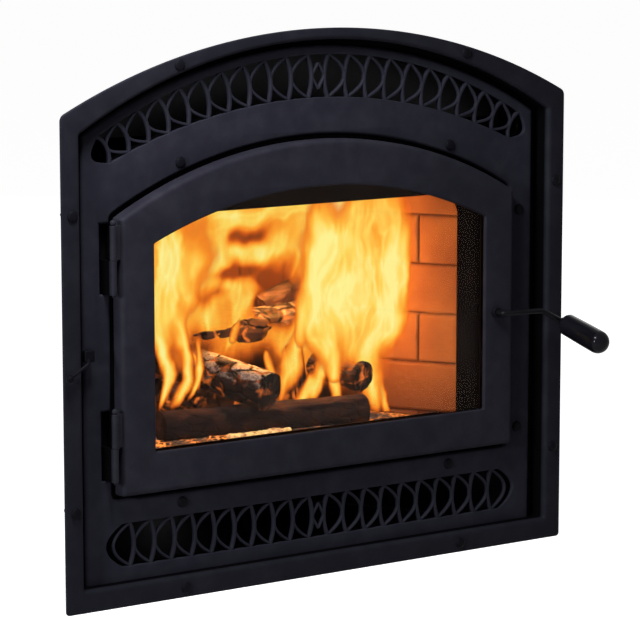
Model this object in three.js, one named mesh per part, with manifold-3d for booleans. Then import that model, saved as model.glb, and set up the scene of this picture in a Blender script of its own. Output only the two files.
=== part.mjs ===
// Built-in wood-burning fireplace with an arched face, in millimetres.
// +X is the viewer's right, +Y goes into the wall, +Z is up.
// The shapes are drawn with the front plane of the surround at y = 0, and the whole group is then moved
// forwards, so that the origin lies on the floor, on the middle runner's underside below the flue.

import * as THREE from 'three';
import * as BufferGeometryUtils from 'three/addons/utils/BufferGeometryUtils.js';
import Module from 'manifold-3d';

const wasm = await Module();
wasm.setup();

// driving dimensions

const gap = 0.3;

const faceHalf = 457;
const faceApex = 829.4;
const faceRadius = 993;
const faceSheet = 4;
const sideRail = 31;
const footRail = 33;
const archRail = 17.4;
const innerRadius = 809;
const slotWidth = 15;
const slotDepth = 38;

const panelFront = 22;
const panelSheet = 3;
const panelApex = 802;
const panelRadius = 800;

const bandFoot = 54.5;
const bandHead = 118.5;
const postBulge = 7;
const postWidth = 5.4;
const bandHeight = bandHead - bandFoot;
const arcWidth = 4;
const grillePlate = 4;
const upperBand = { apex: 789, radius: 760 };
const lowerBand = { apex: 725, radius: 880 };

const doorHalf = 359;
const doorFoot = 162;
const doorApex = 663;
const doorRadius = 719;
const doorFront = 2;
const doorPlate = 6;
const doorDepth = 24;
const doorRim = 6;
const doorClearance = 7;

const windowHalf = 303;
const windowFoot = 223;
const windowApex = 594;
const windowRadius = 732;
const glassThick = 5;
const glassLap = 8;

const ropeOuter = 8;
const ropeWidth = 11;

const hingeX = -373;
const hingeRadius = 5;
const pinRadius = 2.6;
const hingeLength = 100;
const upperHingeZ = 509;
const lowerHingeZ = 236;
const notchEdge = -382;
const notchHalf = hingeLength / 2 + 1;

// A round shaft and its bore have this many sides, so that their corners clear each other as they turn.
const runningSides = 24;

const spindleX = 322;
const spindleZ = 376;
const spindleRadius = 4.5;

const boxFront = 41.3;
const boxHalf = 362;
const boxShoulder = 60;
const boxRear = 420;
const boxFoot = 150;
const boxHead = 650;
const boxWall = 5;
const splay = 0.6;
const brickThick = 50;
const mouthHalf = 290;
const mouthHead = 561;
const hearthTop = 200;
const brickTop = 555;

const casingHalf = 424;
const casingShoulder = 52;
const casingRear = 468;
const casingSheet = 2;
const casingFoot = 20;
const casingHead = 680;

const flueY = 260;
const flueRadius = 76;
const flueTop = 770;
const inletZ = 90;
const inletRadius = 50;
const inletRear = 510;

const leverTravel = 60;

// materials

const paintedSteel = { color: 0x1b1b20, roughness: 0.5, metalness: 0.4 };
const castIron = { color: 0x19191d, roughness: 0.6, metalness: 0.4 };
const bareSteel = { color: 0x5b5754, roughness: 0.5, metalness: 0.8 };
const galvanised = { color: 0x9a9c9e, roughness: 0.45, metalness: 0.8 };
const firebrick = { color: 0xc98a4c, roughness: 0.95, metalness: 0 };
const clearGlass = { color: 0xdfe5e2, roughness: 0.05, metalness: 0 };
const ropeFibre = { color: 0x77736b, roughness: 1, metalness: 0 };
const blackGrip = { color: 0x0b0b0d, roughness: 0.25, metalness: 0 };

// solids: three.js geometry in and out of the boolean library

function toSolid(geometry) {
  let plain = geometry.index ? geometry.toNonIndexed() : geometry.clone();
  plain.deleteAttribute('normal');
  plain.deleteAttribute('uv');
  plain = BufferGeometryUtils.mergeVertices(plain, 1e-4);
  return new wasm.Manifold(new wasm.Mesh({
    numProp: 3,
    vertProperties: new Float32Array(plain.attributes.position.array),
    triVerts: new Uint32Array(plain.index.array),
  }));
}

function toGeometry(solid) {
  const mesh = solid.getMesh();
  const geometry = new THREE.BufferGeometry();
  geometry.setAttribute('position', new THREE.BufferAttribute(new Float32Array(mesh.vertProperties), 3));
  geometry.setIndex(new THREE.BufferAttribute(new Uint32Array(mesh.triVerts), 1));
  geometry.computeVertexNormals();
  return geometry;
}

function joined(solids) {
  return solids.reduce((sum, one) => sum.add(one));
}

function cutBy(solid, tools) {
  return tools.reduce((rest, tool) => rest.subtract(tool), solid);
}

// an upright outline drawn in X and Z, extruded from y0 to y1
function uprightSlab(points, y0, y1) {
  const options = { depth: y1 - y0, bevelEnabled: false };
  const geometry = new THREE.ExtrudeGeometry(new THREE.Shape(points), options);
  geometry.rotateX(Math.PI / 2);
  geometry.translate(0, y1, 0);
  return toSolid(geometry);
}

// a plan outline drawn in X and Y, extruded from z0 to z1
function floorSlab(points, z0, z1) {
  const options = { depth: z1 - z0, bevelEnabled: false };
  const geometry = new THREE.ExtrudeGeometry(new THREE.Shape(points), options);
  geometry.translate(0, 0, z0);
  return toSolid(geometry);
}

function block(x0, x1, y0, y1, z0, z1) {
  const geometry = new THREE.BoxGeometry(x1 - x0, y1 - y0, z1 - z0);
  geometry.translate((x0 + x1) / 2, (y0 + y1) / 2, (z0 + z1) / 2);
  return toSolid(geometry);
}

// a round bar between two points
function rod(from, to, radius, sides = 12) {
  const start = new THREE.Vector3(...from);
  const run = new THREE.Vector3(...to).sub(start);
  const geometry = new THREE.CylinderGeometry(radius, radius, run.length(), sides);
  geometry.translate(0, run.length() / 2, 0);
  const turn = new THREE.Quaternion().setFromUnitVectors(new THREE.Vector3(0, 1, 0), run.normalize());
  geometry.applyQuaternion(turn);
  geometry.translate(start.x, start.y, start.z);
  return toSolid(geometry);
}

// outlines

function arcPoints(cx, cy, radius, from, to, steps) {
  const points = [];
  for (let i = 0; i <= steps; i += 1) {
    const angle = from + ((to - from) * i) / steps;
    points.push(new THREE.Vector2(cx + radius * Math.cos(angle), cy + radius * Math.sin(angle)));
  }
  return points;
}

// An arch-topped outline: upright sides, one flat arc between them, and small rounded corners.
function archOutline({ half, foot, apex, radius, head = 0, toe = 0 }, steps = 18) {
  const centre = apex - radius;
  const rise = Math.sqrt((radius - head) ** 2 - (half - head) ** 2);
  const lean = Math.atan2(rise, half - head);
  const right = [];
  if (toe > 0) {
    right.push(...arcPoints(half - toe, foot + toe, toe, -Math.PI / 2, 0, 3));
  } else {
    right.push(new THREE.Vector2(half, foot));
  }
  if (head > 0) {
    right.push(...arcPoints(half - head, centre + rise, head, 0, lean, 3));
  } else {
    right.push(new THREE.Vector2(half, centre + rise));
  }
  const left = right.map((point) => new THREE.Vector2(-point.x, point.y)).reverse();
  const arc = arcPoints(0, centre, radius, lean, Math.PI - lean, steps).slice(1, -1);
  return [...right, ...arc, ...left];
}

// the same outline moved outwards by a distance on every side
function grown(outline, by) {
  return {
    half: outline.half + by,
    foot: outline.foot - by,
    apex: outline.apex + by,
    radius: outline.radius + by,
    head: Math.max(0, (outline.head ?? 0) + by),
    toe: Math.max(0, (outline.toe ?? 0) + by),
  };
}

function archBand(outer, inner, y0, y1, steps) {
  const slab = uprightSlab(archOutline(outer, steps), y0, y1);
  return slab.subtract(uprightSlab(archOutline(inner, steps), y0 - 1, y1 + 1));
}

const faceOutline = { half: faceHalf, foot: 0, apex: faceApex, radius: faceRadius, head: 12, toe: 6 };
const railInner = {
  half: faceHalf - sideRail,
  foot: footRail,
  apex: faceApex - archRail,
  radius: innerRadius,
  head: 6,
  toe: 3,
};
const panelOutline = {
  half: railInner.half - slotWidth,
  foot: footRail + gap,
  apex: panelApex,
  radius: panelRadius,
  head: 6,
  toe: 0,
};
const doorOutline = { half: doorHalf, foot: doorFoot, apex: doorApex, radius: doorRadius, head: 5, toe: 4 };
const doorwayOutline = grown(doorOutline, doorClearance);
const windowOutline = {
  half: windowHalf, foot: windowFoot, apex: windowApex, radius: windowRadius, head: 4, toe: 3,
};
const ropeOutline = grown(doorOutline, -ropeOuter);
const throatOutline = grown(ropeOutline, -ropeWidth - 1.5);

// parts

const group = new THREE.Group();

function part(name, shape, material) {
  const geometry = shape.isBufferGeometry ? shape : toGeometry(shape);
  const mesh = new THREE.Mesh(geometry, new THREE.MeshStandardMaterial(material));
  mesh.name = name;
  group.add(mesh);
  return mesh;
}

// bolts: domed heads on round shanks

const boltHead = 8.5;
const boltDome = 4.2;
const boltShank = 3;
const boltHole = 3.6;

function boltHoles(places, y0, y1) {
  return places.map(([x, z]) => rod([x, y0, z], [x, y1, z], boltHole, 8));
}

function dome(radius, height, shankRadius, length) {
  const profile = [new THREE.Vector2(0, height)];
  for (const [share, lift] of [[0.42, 0.88], [0.78, 0.55], [1, 0.14], [1, 0]]) {
    profile.push(new THREE.Vector2(radius * share, height * lift));
  }
  profile.push(new THREE.Vector2(shankRadius, 0));
  profile.push(new THREE.Vector2(shankRadius, -length));
  profile.push(new THREE.Vector2(0, -length));
  const geometry = new THREE.LatheGeometry(profile.reverse(), 10);
  geometry.rotateX(Math.PI);
  return geometry;
}

function bolt(name, [x, z], seat, length) {
  const geometry = dome(boltHead, boltDome, boltShank, length);
  geometry.translate(x, seat, z);
  part(name, toSolid(geometry), castIron);
}

const archBoltX = 260;
const archBoltZ = 784;
const footBoltX = 255;
const footBoltZ = 15;
const sideBoltX = 440;
const surroundBolts = {
  upper_left: [-sideBoltX, 577],
  upper_right: [sideBoltX, 577],
  lower_left: [-sideBoltX, 149],
  lower_right: [sideBoltX, 149],
  arch_left: [-archBoltX, archBoltZ],
  arch_right: [archBoltX, archBoltZ],
  foot_left: [-footBoltX, footBoltZ],
  foot_right: [footBoltX, footBoltZ],
};
const panelBolts = {
  head_left: [-246, 641],
  head_right: [246, 641],
  side_upper: [384, 532],
  side_lower: [384, 184],
  foot_left: [-247, 139],
  foot_right: [247, 139],
};

for (const [place, spot] of Object.entries(surroundBolts)) {
  bolt(`surround_bolt_${place}`, spot, -gap, 30);
}
for (const [place, spot] of Object.entries(panelBolts)) {
  bolt(`panel_bolt_${place}`, spot, panelFront - gap, 24);
}

// surround: an arched frame of sheet with its inner edge turned back to form one side of the slot

const railWall = grown(railInner, 4);
const surroundSheet = archBand(faceOutline, railInner, 0, faceSheet, 24);
const surroundReturn = archBand(railWall, railInner, faceSheet - 1, slotDepth, 24);
part(
  'surround_frame',
  cutBy(surroundSheet.add(surroundReturn), boltHoles(Object.values(surroundBolts), -1, faceSheet + 1)),
  paintedSteel,
);

// grille bands: positions along (across) and up the band, from 0 at its lower edge to 1 at its upper edge

function straightBand(across, up) {
  return new THREE.Vector2(across, bandFoot + (bandHead - bandFoot) * up);
}

const fanRadius = 820;
const fanCentre = (upperBand.apex + lowerBand.apex) / 2 - fanRadius;

// distance from the fan's centre to a circle on the same axis, along a ray leaning by an angle
function rayLength(circle, lean) {
  const offset = circle.apex - circle.radius - fanCentre;
  return offset * Math.cos(lean) + Math.sqrt(circle.radius ** 2 - (offset * Math.sin(lean)) ** 2);
}

function archedBand(across, up) {
  const lean = across / fanRadius;
  const low = rayLength(lowerBand, lean);
  const high = rayLength(upperBand, lean);
  const reach = low + (high - low) * up;
  return new THREE.Vector2(reach * Math.sin(lean), fanCentre + reach * Math.cos(lean));
}

// 0 at both edges of the band and 1 half way up
function swell(up) {
  return 1 - (2 * up - 1) ** 2;
}

// Each band has posts at an even pitch to both sides of its middle, arcs between them, and an opening whose
// long edges end at half and whose ends bow past that. The top opening's end takes the place of the last arc.
const topBand = { at: archedBand, pitch: 37, posts: 11, arcs: 10, half: 388.5, endBow: 23 };
const footBand = { at: straightBand, pitch: 35.3, posts: 10, arcs: 10, half: 349, endBow: 28.3 };

// how far an arc bows past its own post to touch the next one
function reachPastPost(band) {
  return band.pitch - postBulge;
}

// The opening of a grille, with a lens-shaped end.
function bandOutline(band, by) {
  const steps = 16;
  const lens = 6;
  const points = [];
  const half = band.half + by;
  const bow = band.endBow;
  for (let i = 0; i <= steps; i += 1) {
    points.push(band.at(-half + (2 * half * i) / steps, -by / bandHeight));
  }
  for (let i = 1; i < lens; i += 1) {
    const up = i / lens;
    points.push(band.at(half + bow * swell(up), up * (1 + (2 * by) / bandHeight) - by / bandHeight));
  }
  for (let i = 0; i <= steps; i += 1) {
    points.push(band.at(half - (2 * half * i) / steps, 1 + by / bandHeight));
  }
  for (let i = lens - 1; i > 0; i -= 1) {
    const up = i / lens;
    points.push(band.at(-half - bow * swell(up), up * (1 + (2 * by) / bandHeight) - by / bandHeight));
  }
  return points;
}

// a bar of even width along a curve given by a function of its share along
function strokePoints(curve, width, steps) {
  const right = [];
  const left = [];
  const step = 0.01;
  for (let i = 0; i <= steps; i += 1) {
    const share = i / steps;
    const here = curve(share);
    const run = curve(share + step).sub(curve(share - step)).normalize();
    const side = new THREE.Vector2(run.y, -run.x).multiplyScalar(width / 2);
    right.push(here.clone().add(side));
    left.push(here.clone().sub(side));
  }
  return [...right, ...left.reverse()];
}

function latticeBars(band, y0, y1) {
  const bars = [];
  const past = 0.06;
  const bow = reachPastPost(band);
  for (const hand of [-1, 1]) {
    for (let k = 0; k < band.posts; k += 1) {
      const start = band.pitch * (k + 0.5);
      const post = (t) => {
        const up = -past + (1 + 2 * past) * t;
        return band.at(hand * (start - postBulge * swell(up)), up);
      };
      bars.push(uprightSlab(strokePoints(post, postWidth, 4), y0, y1));
      if (k < band.arcs) {
        const deep = (t) => {
          const up = -past / 2 + (1 + past) * t;
          return band.at(hand * (start + bow * swell(up)), up);
        };
        bars.push(uprightSlab(strokePoints(deep, arcWidth, 6), y0, y1));
      }
    }
    for (const end of [-1, 1]) {
      const corner = band.pitch / 2 - postBulge + 1;
      const diamond = (t) => band.at(hand * corner * (1 - t), 0.5 + end * 0.3 * t);
      bars.push(uprightSlab(strokePoints(diamond, arcWidth, 2), y0, y1));
    }
  }
  return bars;
}

const grilleLap = 6;
const grilleFront = panelFront + panelSheet + gap;

function grille(name, band) {
  const y0 = grilleFront;
  const y1 = grilleFront + grillePlate;
  const plate = uprightSlab(bandOutline(band, grilleLap), y0, y1);
  const frame = plate.subtract(uprightSlab(bandOutline(band, 0), y0 - 1, y1 + 1));
  const bars = joined(latticeBars(band, y0, y1)).intersect(plate);
  part(name, frame.add(bars), castIron);
}

grille('top_grille', topBand);
grille('bottom_grille', footBand);

// centre panel: sheet with turned-back outer edges, a doorway and the two grille openings

const panelPlate = cutBy(uprightSlab(archOutline(panelOutline, 24), panelFront, panelFront + panelSheet), [
  uprightSlab(archOutline(doorwayOutline, 20), panelFront - 1, panelFront + panelSheet + 1),
  uprightSlab(bandOutline(topBand, 0), panelFront - 1, panelFront + panelSheet + 1),
  uprightSlab(bandOutline(footBand, 0), panelFront - 1, panelFront + panelSheet + 1),
  ...boltHoles(Object.values(panelBolts), panelFront - 1, panelFront + panelSheet + 1),
]);
const panelReturn = archBand(
  panelOutline, grown(panelOutline, -panelSheet), panelFront + panelSheet - 1, slotDepth, 24,
);
const doorwayReturn = archBand(
  grown(doorwayOutline, panelSheet), doorwayOutline, panelFront + panelSheet - 1, slotDepth, 20,
);

// a notch in the doorway's left edge for each hinge, with its edges turned back too
function hingeNotch(z, by, y0, y1) {
  const inner = -doorwayOutline.half + (by > 0 ? 0 : 5);
  return block(notchEdge - by, inner, y0, y1, z - notchHalf - by, z + notchHalf + by);
}

const hingeHeights = [upperHingeZ, lowerHingeZ];
const panelBack = panelFront + panelSheet - 1;
const notchReturns = hingeHeights.map((z) => hingeNotch(z, panelSheet, panelBack, slotDepth));
const notches = hingeHeights.map((z) => hingeNotch(z, 0, panelFront - 1, slotDepth + 1));
const panelSolids = [panelPlate, panelReturn, doorwayReturn, ...notchReturns];
part('face_panel', cutBy(joined(panelSolids), notches), paintedSteel);

// backing frame: the floor of the slot, which carries the surround, the panel and the firebox

const backingFront = slotDepth + gap;
const backingRear = backingFront + 2.7;
const backingOutline = { half: 432, foot: 27, apex: 816, radius: 818, head: 6, toe: 0 };
const leverX = -416;
const leverZ = 374;
const leverSlotHalf = leverTravel + 12;
const backing = cutBy(uprightSlab(archOutline(backingOutline, 24), backingFront, backingRear), [
  uprightSlab(archOutline(throatOutline, 20), backingFront - 1, backingRear + 1),
  uprightSlab(bandOutline(topBand, 0), backingFront - 1, backingRear + 1),
  uprightSlab(bandOutline(footBand, 0), backingFront - 1, backingRear + 1),
  block(
    leverX - 4, leverX + 4, backingFront - 1, backingRear + 1,
    leverZ - leverSlotHalf, leverZ + leverSlotHalf,
  ),
  ...boltHoles(Object.values(panelBolts), backingFront - 1, backingRear + 1),
]);
part('backing_frame', backing, paintedSteel);

// firebox front: the flat steel ring that the door seals against

const sealFace = 30;
const frontOutline = grown(doorwayOutline, -2);
part('firebox_front', archBand(frontOutline, throatOutline, sealFace, slotDepth, 20), castIron);

// firebox shell: splayed sides, with an open front and a round flue outlet

function splayedPlan(half, shoulder, front, rear) {
  const narrow = half - splay * (rear - shoulder);
  const right = [new THREE.Vector2(half, front)];
  if (shoulder > front) {
    right.push(new THREE.Vector2(half, shoulder));
  }
  right.push(new THREE.Vector2(narrow, rear));
  const left = right.map((point) => new THREE.Vector2(-point.x, point.y)).reverse();
  return [...right, ...left];
}

// how much a splayed wall of a given thickness narrows the plan
function acrossSplay(thickness) {
  return thickness * Math.sqrt(1 + splay * splay);
}

const innerHalf = boxHalf - boxWall;
const shellSlack = acrossSplay(boxWall) - boxWall;
const shell = cutBy(floorSlab(splayedPlan(boxHalf, boxShoulder, boxFront, boxRear), boxFoot, boxHead), [
  floorSlab(
    splayedPlan(innerHalf, boxShoulder - shellSlack / splay, boxFront - 10, boxRear - boxWall),
    boxFoot + boxWall, boxHead - boxWall,
  ),
  rod([0, flueY, boxHead - 20], [0, flueY, boxHead + 20], flueRadius - 6, 24),
]);
part('firebox_shell', shell, bareSteel);

// half the clear width inside the steel at a depth, less a working clearance
function clearHalf(y) {
  return innerHalf - splay * Math.max(0, y - boxShoulder + shellSlack / splay) - 1;
}

// inner front: the frame that holds the bricks and shapes the mouth of the fire

const mouthFront = 56;
const mouthRear = 60;
const mouthPoints = [
  new THREE.Vector2(mouthHalf, hearthTop),
  ...arcPoints(mouthHalf - 35, mouthHead - 35, 35, 0, Math.PI / 2, 5),
  ...arcPoints(-mouthHalf + 35, mouthHead - 35, 35, Math.PI / 2, Math.PI, 5),
  new THREE.Vector2(-mouthHalf, hearthTop),
];
const innerFrame = block(
  -clearHalf(mouthRear), clearHalf(mouthRear), mouthFront, mouthRear,
  boxFoot + boxWall + gap, boxHead - boxWall - gap,
);
part('mouth_frame', innerFrame.subtract(uprightSlab(mouthPoints, mouthFront - 1, mouthRear + 1)), bareSteel);

// refractory lining

const brickFront = mouthRear + gap;
const brickRear = 375;

function clearPlan(front, rear) {
  return [
    new THREE.Vector2(clearHalf(front), front),
    new THREE.Vector2(clearHalf(rear), rear),
    new THREE.Vector2(-clearHalf(rear), rear),
    new THREE.Vector2(-clearHalf(front), front),
  ];
}

const liningRear = boxRear - boxWall - 3;
const hearthPlan = clearPlan(brickFront, liningRear);
part('hearth_slab', floorSlab(hearthPlan, boxFoot + boxWall + gap, hearthTop - gap), firebrick);
for (const [name, hand] of [['brick_panel_left', -1], ['brick_panel_right', 1]]) {
  const thick = acrossSplay(brickThick);
  const plan = [
    new THREE.Vector2(hand * clearHalf(brickFront), brickFront),
    new THREE.Vector2(hand * clearHalf(brickRear), brickRear),
    new THREE.Vector2(hand * (clearHalf(brickRear) - thick), brickRear),
    new THREE.Vector2(hand * (clearHalf(brickFront) - thick), brickFront),
  ];
  part(name, floorSlab(plan, hearthTop, brickTop), firebrick);
}
part('brick_panel_rear', floorSlab(clearPlan(brickRear + gap, liningRear), hearthTop, brickTop), firebrick);

// ash lip: the upright bar along the front of the hearth

const lipHalf = mouthHalf - 22;
part('ash_lip', joined([
  block(-lipHalf, lipHalf, 64, 69, hearthTop, hearthTop + 14),
  block(-lipHalf, lipHalf, 64, 84, hearthTop, hearthTop + 4),
]), castIron);

// secondary air tubes and the baffle that rests on them

const tubeRadius = 13;
const tubeZ = brickTop + gap + tubeRadius;
const tubeDepths = { front: 140, middle: 225, rear: 310 };
for (const [place, y] of Object.entries(tubeDepths)) {
  const reach = clearHalf(y + tubeRadius);
  const tube = rod([-reach, y, tubeZ], [reach, y, tubeZ], tubeRadius, 12);
  part(
    `air_tube_${place}`,
    tube.subtract(rod([-reach - 1, y, tubeZ], [reach + 1, y, tubeZ], tubeRadius - 2.5, 12)),
    bareSteel,
  );
}
const baffleFoot = tubeZ + tubeRadius + gap;
part('baffle_board', floorSlab(clearPlan(115, liningRear), baffleFoot, baffleFoot + 25), firebrick);

// flue collar

const flueFoot = boxHead + gap;
const collar = rod([0, flueY, flueFoot], [0, flueY, flueTop], flueRadius, 24)
  .add(rod([0, flueY, flueFoot], [0, flueY, flueFoot + 5], flueRadius + 12, 24))
  .subtract(rod([0, flueY, flueFoot - 1], [0, flueY, flueTop + 1], flueRadius - 3, 24));
part('flue_collar', collar, bareSteel);

// outer casing: wrap, base, top and the warm-air hood behind the top grille

function casingPlan(by, front) {
  return splayedPlan(casingHalf - by, casingShoulder, front, casingRear - by);
}

const wrap = cutBy(floorSlab(casingPlan(0, boxFront), casingFoot, casingHead), [
  floorSlab(casingPlan(casingSheet, boxFront - 5), casingFoot - 1, casingHead + 1),
  rod([0, casingRear - 10, inletZ], [0, casingRear + 10, inletZ], inletRadius - 3, 24),
]);
part('casing_wrap', wrap, galvanised);

// collar for the outside-air duct, on the rear of the casing
const inletFront = casingRear + gap;
const inletCollar = rod([0, inletFront, inletZ], [0, inletRear, inletZ], inletRadius, 24)
  .add(rod([0, inletFront, inletZ], [0, inletFront + 3, inletZ], inletRadius + 10, 24))
  .subtract(rod([0, inletFront - 1, inletZ], [0, inletRear + 1, inletZ], inletRadius - 2, 24));
part('air_inlet_collar', inletCollar, galvanised);

// three runners under the base carry the weight
const runnerPitch = 100;
const runnerHalf = 20;
const runners = [-runnerPitch, 0, runnerPitch].map(
  (x) => block(x - runnerHalf, x + runnerHalf, boxFront + 30, casingRear - 40, 0, casingFoot - 5),
);
const baseSheet = floorSlab(casingPlan(0, boxFront), casingFoot - 6, casingFoot - gap);
part('casing_base', joined([baseSheet, ...runners]), galvanised);

const hoodRear = 90;
const hoodHalf = 396;
const topSheet = floorSlab(casingPlan(0, boxFront), casingHead + gap, casingHead + gap + casingSheet);
part('casing_top', cutBy(topSheet, [
  rod([0, flueY, casingHead - 5], [0, flueY, casingHead + 10], flueRadius + 3, 24),
  block(-hoodHalf - gap, hoodHalf + gap, boxFront - 1, hoodRear + gap, casingHead - 5, casingHead + 10),
]), galvanised);

const hoodOutline = { half: hoodHalf, foot: 630, apex: 798, radius: 800, head: 4, toe: 0 };
const hoodHollow = { ...grown(hoodOutline, -casingSheet), foot: 600 };
const hood = cutBy(uprightSlab(archOutline(hoodOutline, 18), boxFront, hoodRear), [
  uprightSlab(archOutline(hoodHollow, 18), boxFront - 5, hoodRear - casingSheet),
  block(-380, 380, hoodRear - 10, hoodRear + 10, 600, casingHead - 4),
]);
part('warm_air_hood', hood, galvanised);

// door frame: arched plate with a turned-back rim and an inner rib that makes the rope channel

const plateRear = doorFront + doorPlate;
const ribOutline = grown(ropeOutline, -ropeWidth - 1);
const doorBody = cutBy(joined([
  uprightSlab(archOutline(doorOutline, 20), doorFront, plateRear),
  archBand(doorOutline, grown(doorOutline, -doorRim), plateRear - 1, doorFront + doorDepth, 20),
  archBand(ribOutline, grown(ribOutline, -4), plateRear - 1, plateRear + 12, 20),
]), [
  uprightSlab(archOutline(windowOutline, 20), doorFront - 1, plateRear + 1),
  rod([spindleX, doorFront - 1, spindleZ], [spindleX, plateRear + 1, spindleZ], spindleRadius + 2.6, 12),
]);
part('door_frame', doorBody, castIron);

part(
  'door_rope_gasket',
  archBand(ropeOutline, grown(ropeOutline, -ropeWidth), plateRear + gap, sealFace - gap, 20),
  ropeFibre,
);

// glass, its tape gasket, and the frame of clips that holds it

const glassOutline = grown(windowOutline, glassLap);
const tapeFront = plateRear + gap;
const glassFront = tapeFront + 2 + gap;
const glassRear = glassFront + glassThick;
part(
  'glass_tape',
  archBand(glassOutline, grown(glassOutline, -glassLap + 1), tapeFront, tapeFront + 2, 20),
  ropeFibre,
);
part('door_glass', uprightSlab(archOutline(glassOutline, 20), glassFront, glassRear), clearGlass);
part(
  'glass_retainer',
  archBand(glassOutline, grown(windowOutline, 1), glassRear + gap, glassRear + gap + 2.5, 20),
  bareSteel,
);

// hinges: each has a barrel on a bracket that stands in its notch, a barrel on the door, and a pin with a
// ball end through both

const runningFit = 0.08;

function hinge(place, middle) {
  const foot = middle - hingeLength / 2;
  const head = middle + hingeLength / 2;
  const axisY = doorFront - 1;
  const bore = rod(
    [hingeX, axisY, foot - 5], [hingeX, axisY, head + 5], pinRadius + runningFit, runningSides,
  );
  const fixedBarrel = rod([hingeX, axisY, foot], [hingeX, axisY, middle - gap], hingeRadius);
  const leaf = block(hingeX - 4.5, hingeX - 0.5, axisY, slotDepth, foot, middle - gap);
  const bracketFoot = block(notchEdge + 0.8, hingeX - 0.5, slotDepth - 3, slotDepth, foot, head);
  part(`hinge_bracket_${place}`, joined([fixedBarrel, leaf, bracketFoot]).subtract(bore), castIron);

  const doorBarrel = rod([hingeX, axisY, middle + gap], [hingeX, axisY, head], hingeRadius);
  const strap = block(hingeX + 2, -doorHalf - gap, axisY + 0.5, axisY + 4.5, middle + gap, head);
  part(`hinge_knuckle_${place}`, doorBarrel.add(strap).subtract(bore), castIron);

  const pin = rod([hingeX, axisY, foot - 3], [hingeX, axisY, head + gap + 3], pinRadius, runningSides);
  const ball = new THREE.SphereGeometry(hingeRadius - 0.6, 12, 7);
  ball.rotateX(Math.PI / 2);
  ball.translate(hingeX, axisY, head + gap + hingeRadius - 0.6);
  part(`hinge_pin_${place}`, pin.add(toSolid(ball)), castIron);
}

hinge('upper', upperHingeZ);
hinge('lower', lowerHingeZ);

// latch handle: a bushing, a spindle with a bent arm, a collar, a grip, and the cam at the back

const armY = -20;
const bushFront = doorFront - 8;
const boreRadius = spindleRadius + runningFit;

function spindleRod(y0, y1, radius) {
  return rod([spindleX, y0, spindleZ], [spindleX, y1, spindleZ], radius, runningSides);
}

const bushing = spindleRod(bushFront, plateRear + 2, spindleRadius + 2.3)
  .add(spindleRod(bushFront, doorFront - gap, spindleRadius + 3.5))
  .subtract(spindleRod(bushFront - 1, plateRear + 8, boreRadius));
part('spindle_bushing', bushing, castIron);

const camFront = 40;
const camRear = 46;
const bend = [399, armY - 4, spindleZ - 1];
const gripStart = [430, armY - 12, spindleZ - 20];
const spindle = joined([
  spindleRod(armY, camFront - gap, spindleRadius),
  rod([spindleX - 3, armY, spindleZ], bend, spindleRadius - 0.6, 12),
  rod(bend, gripStart, spindleRadius - 0.6, 12),
]);
part('latch_spindle', spindle, castIron);

// a lathed body along a line, its profile given as pairs of distance along and radius
function turned(from, to, profile, sides) {
  const start = new THREE.Vector3(...from);
  const run = new THREE.Vector3(...to).sub(start);
  const points = profile.map(([along, radius]) => new THREE.Vector2(radius, along * run.length()));
  const geometry = new THREE.LatheGeometry(points, sides);
  const turn = new THREE.Quaternion().setFromUnitVectors(new THREE.Vector3(0, 1, 0), run.normalize());
  geometry.applyQuaternion(turn);
  geometry.translate(start.x, start.y, start.z);
  return toSolid(geometry);
}

function pointBetween(from, to, share) {
  return from.map((value, i) => value + (to[i] - value) * share);
}

const gripEnd = [438, armY - 110, spindleZ - 48];
const collarEnd = pointBetween(gripStart, gripEnd, 0.075);
const gripBase = pointBetween(gripStart, gripEnd, 0.08);
part('handle_collar', turned(gripStart, collarEnd, [[0, 0], [0, 7], [1, 8], [1, 0]], 16)
  .subtract(spindle), bareSteel);
const gripProfile = [
  [0, 0], [0, 15], [0.04, 17.2], [0.3, 17.8], [0.62, 18.2], [0.8, 18.4], [0.9, 16.8], [0.96, 12.6],
  [0.99, 7], [1, 0],
];
part('handle_grip', turned(gripBase, gripEnd, gripProfile, 16), blackGrip);

// the door's swing carries the nose outwards by a little over 1 mm, so it stops short of the throat's edge
const camClearance = 2;
const camNose = throatOutline.half - spindleX - camClearance;
const cam = joined([
  spindleRod(camFront, camRear, spindleRadius + 3),
  block(spindleX, spindleX + camNose, camFront, camRear - 2, spindleZ - 6, spindleZ + 6),
]);
part('latch_cam', cam, bareSteel);

// keeper: the block on the firebox shell beside the cam's nose

const keeperHalf = 26;
part('latch_keeper', block(
  throatOutline.half + 0.4, innerHalf - 0.4, camFront + 2, mouthFront - 2,
  spindleZ - keeperHalf, spindleZ + keeperHalf,
), bareSteel);

// air control: a shutter on the combustion-air channel, moved up and down by a lever through the slot

const channel = { x0: -406, x1: -366, y0: 48, y1: 68, z0: 230, z1: 540, wall: 2 };
const channelBody = block(channel.x0, channel.x1, channel.y0, channel.y1, channel.z0, channel.z1);
const channelBore = block(
  channel.x0 + channel.wall, channel.x1 - channel.wall, channel.y0 + channel.wall, channel.y1 - channel.wall,
  channel.z0 - 1, channel.z1 + 1,
);
const port = block(channel.x0 + 8, channel.x1 - 8, channel.y0 - 1, channel.y0 + 3, leverZ - 30, leverZ + 30);
part('air_channel', cutBy(channelBody, [channelBore, port]), galvanised);

const shutterFront = 43.5;
const shutterHalf = 36;
part('air_shutter', block(
  leverX + 4, channel.x1, shutterFront, shutterFront + 2, leverZ - shutterHalf, leverZ + shutterHalf,
), bareSteel);

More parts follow.
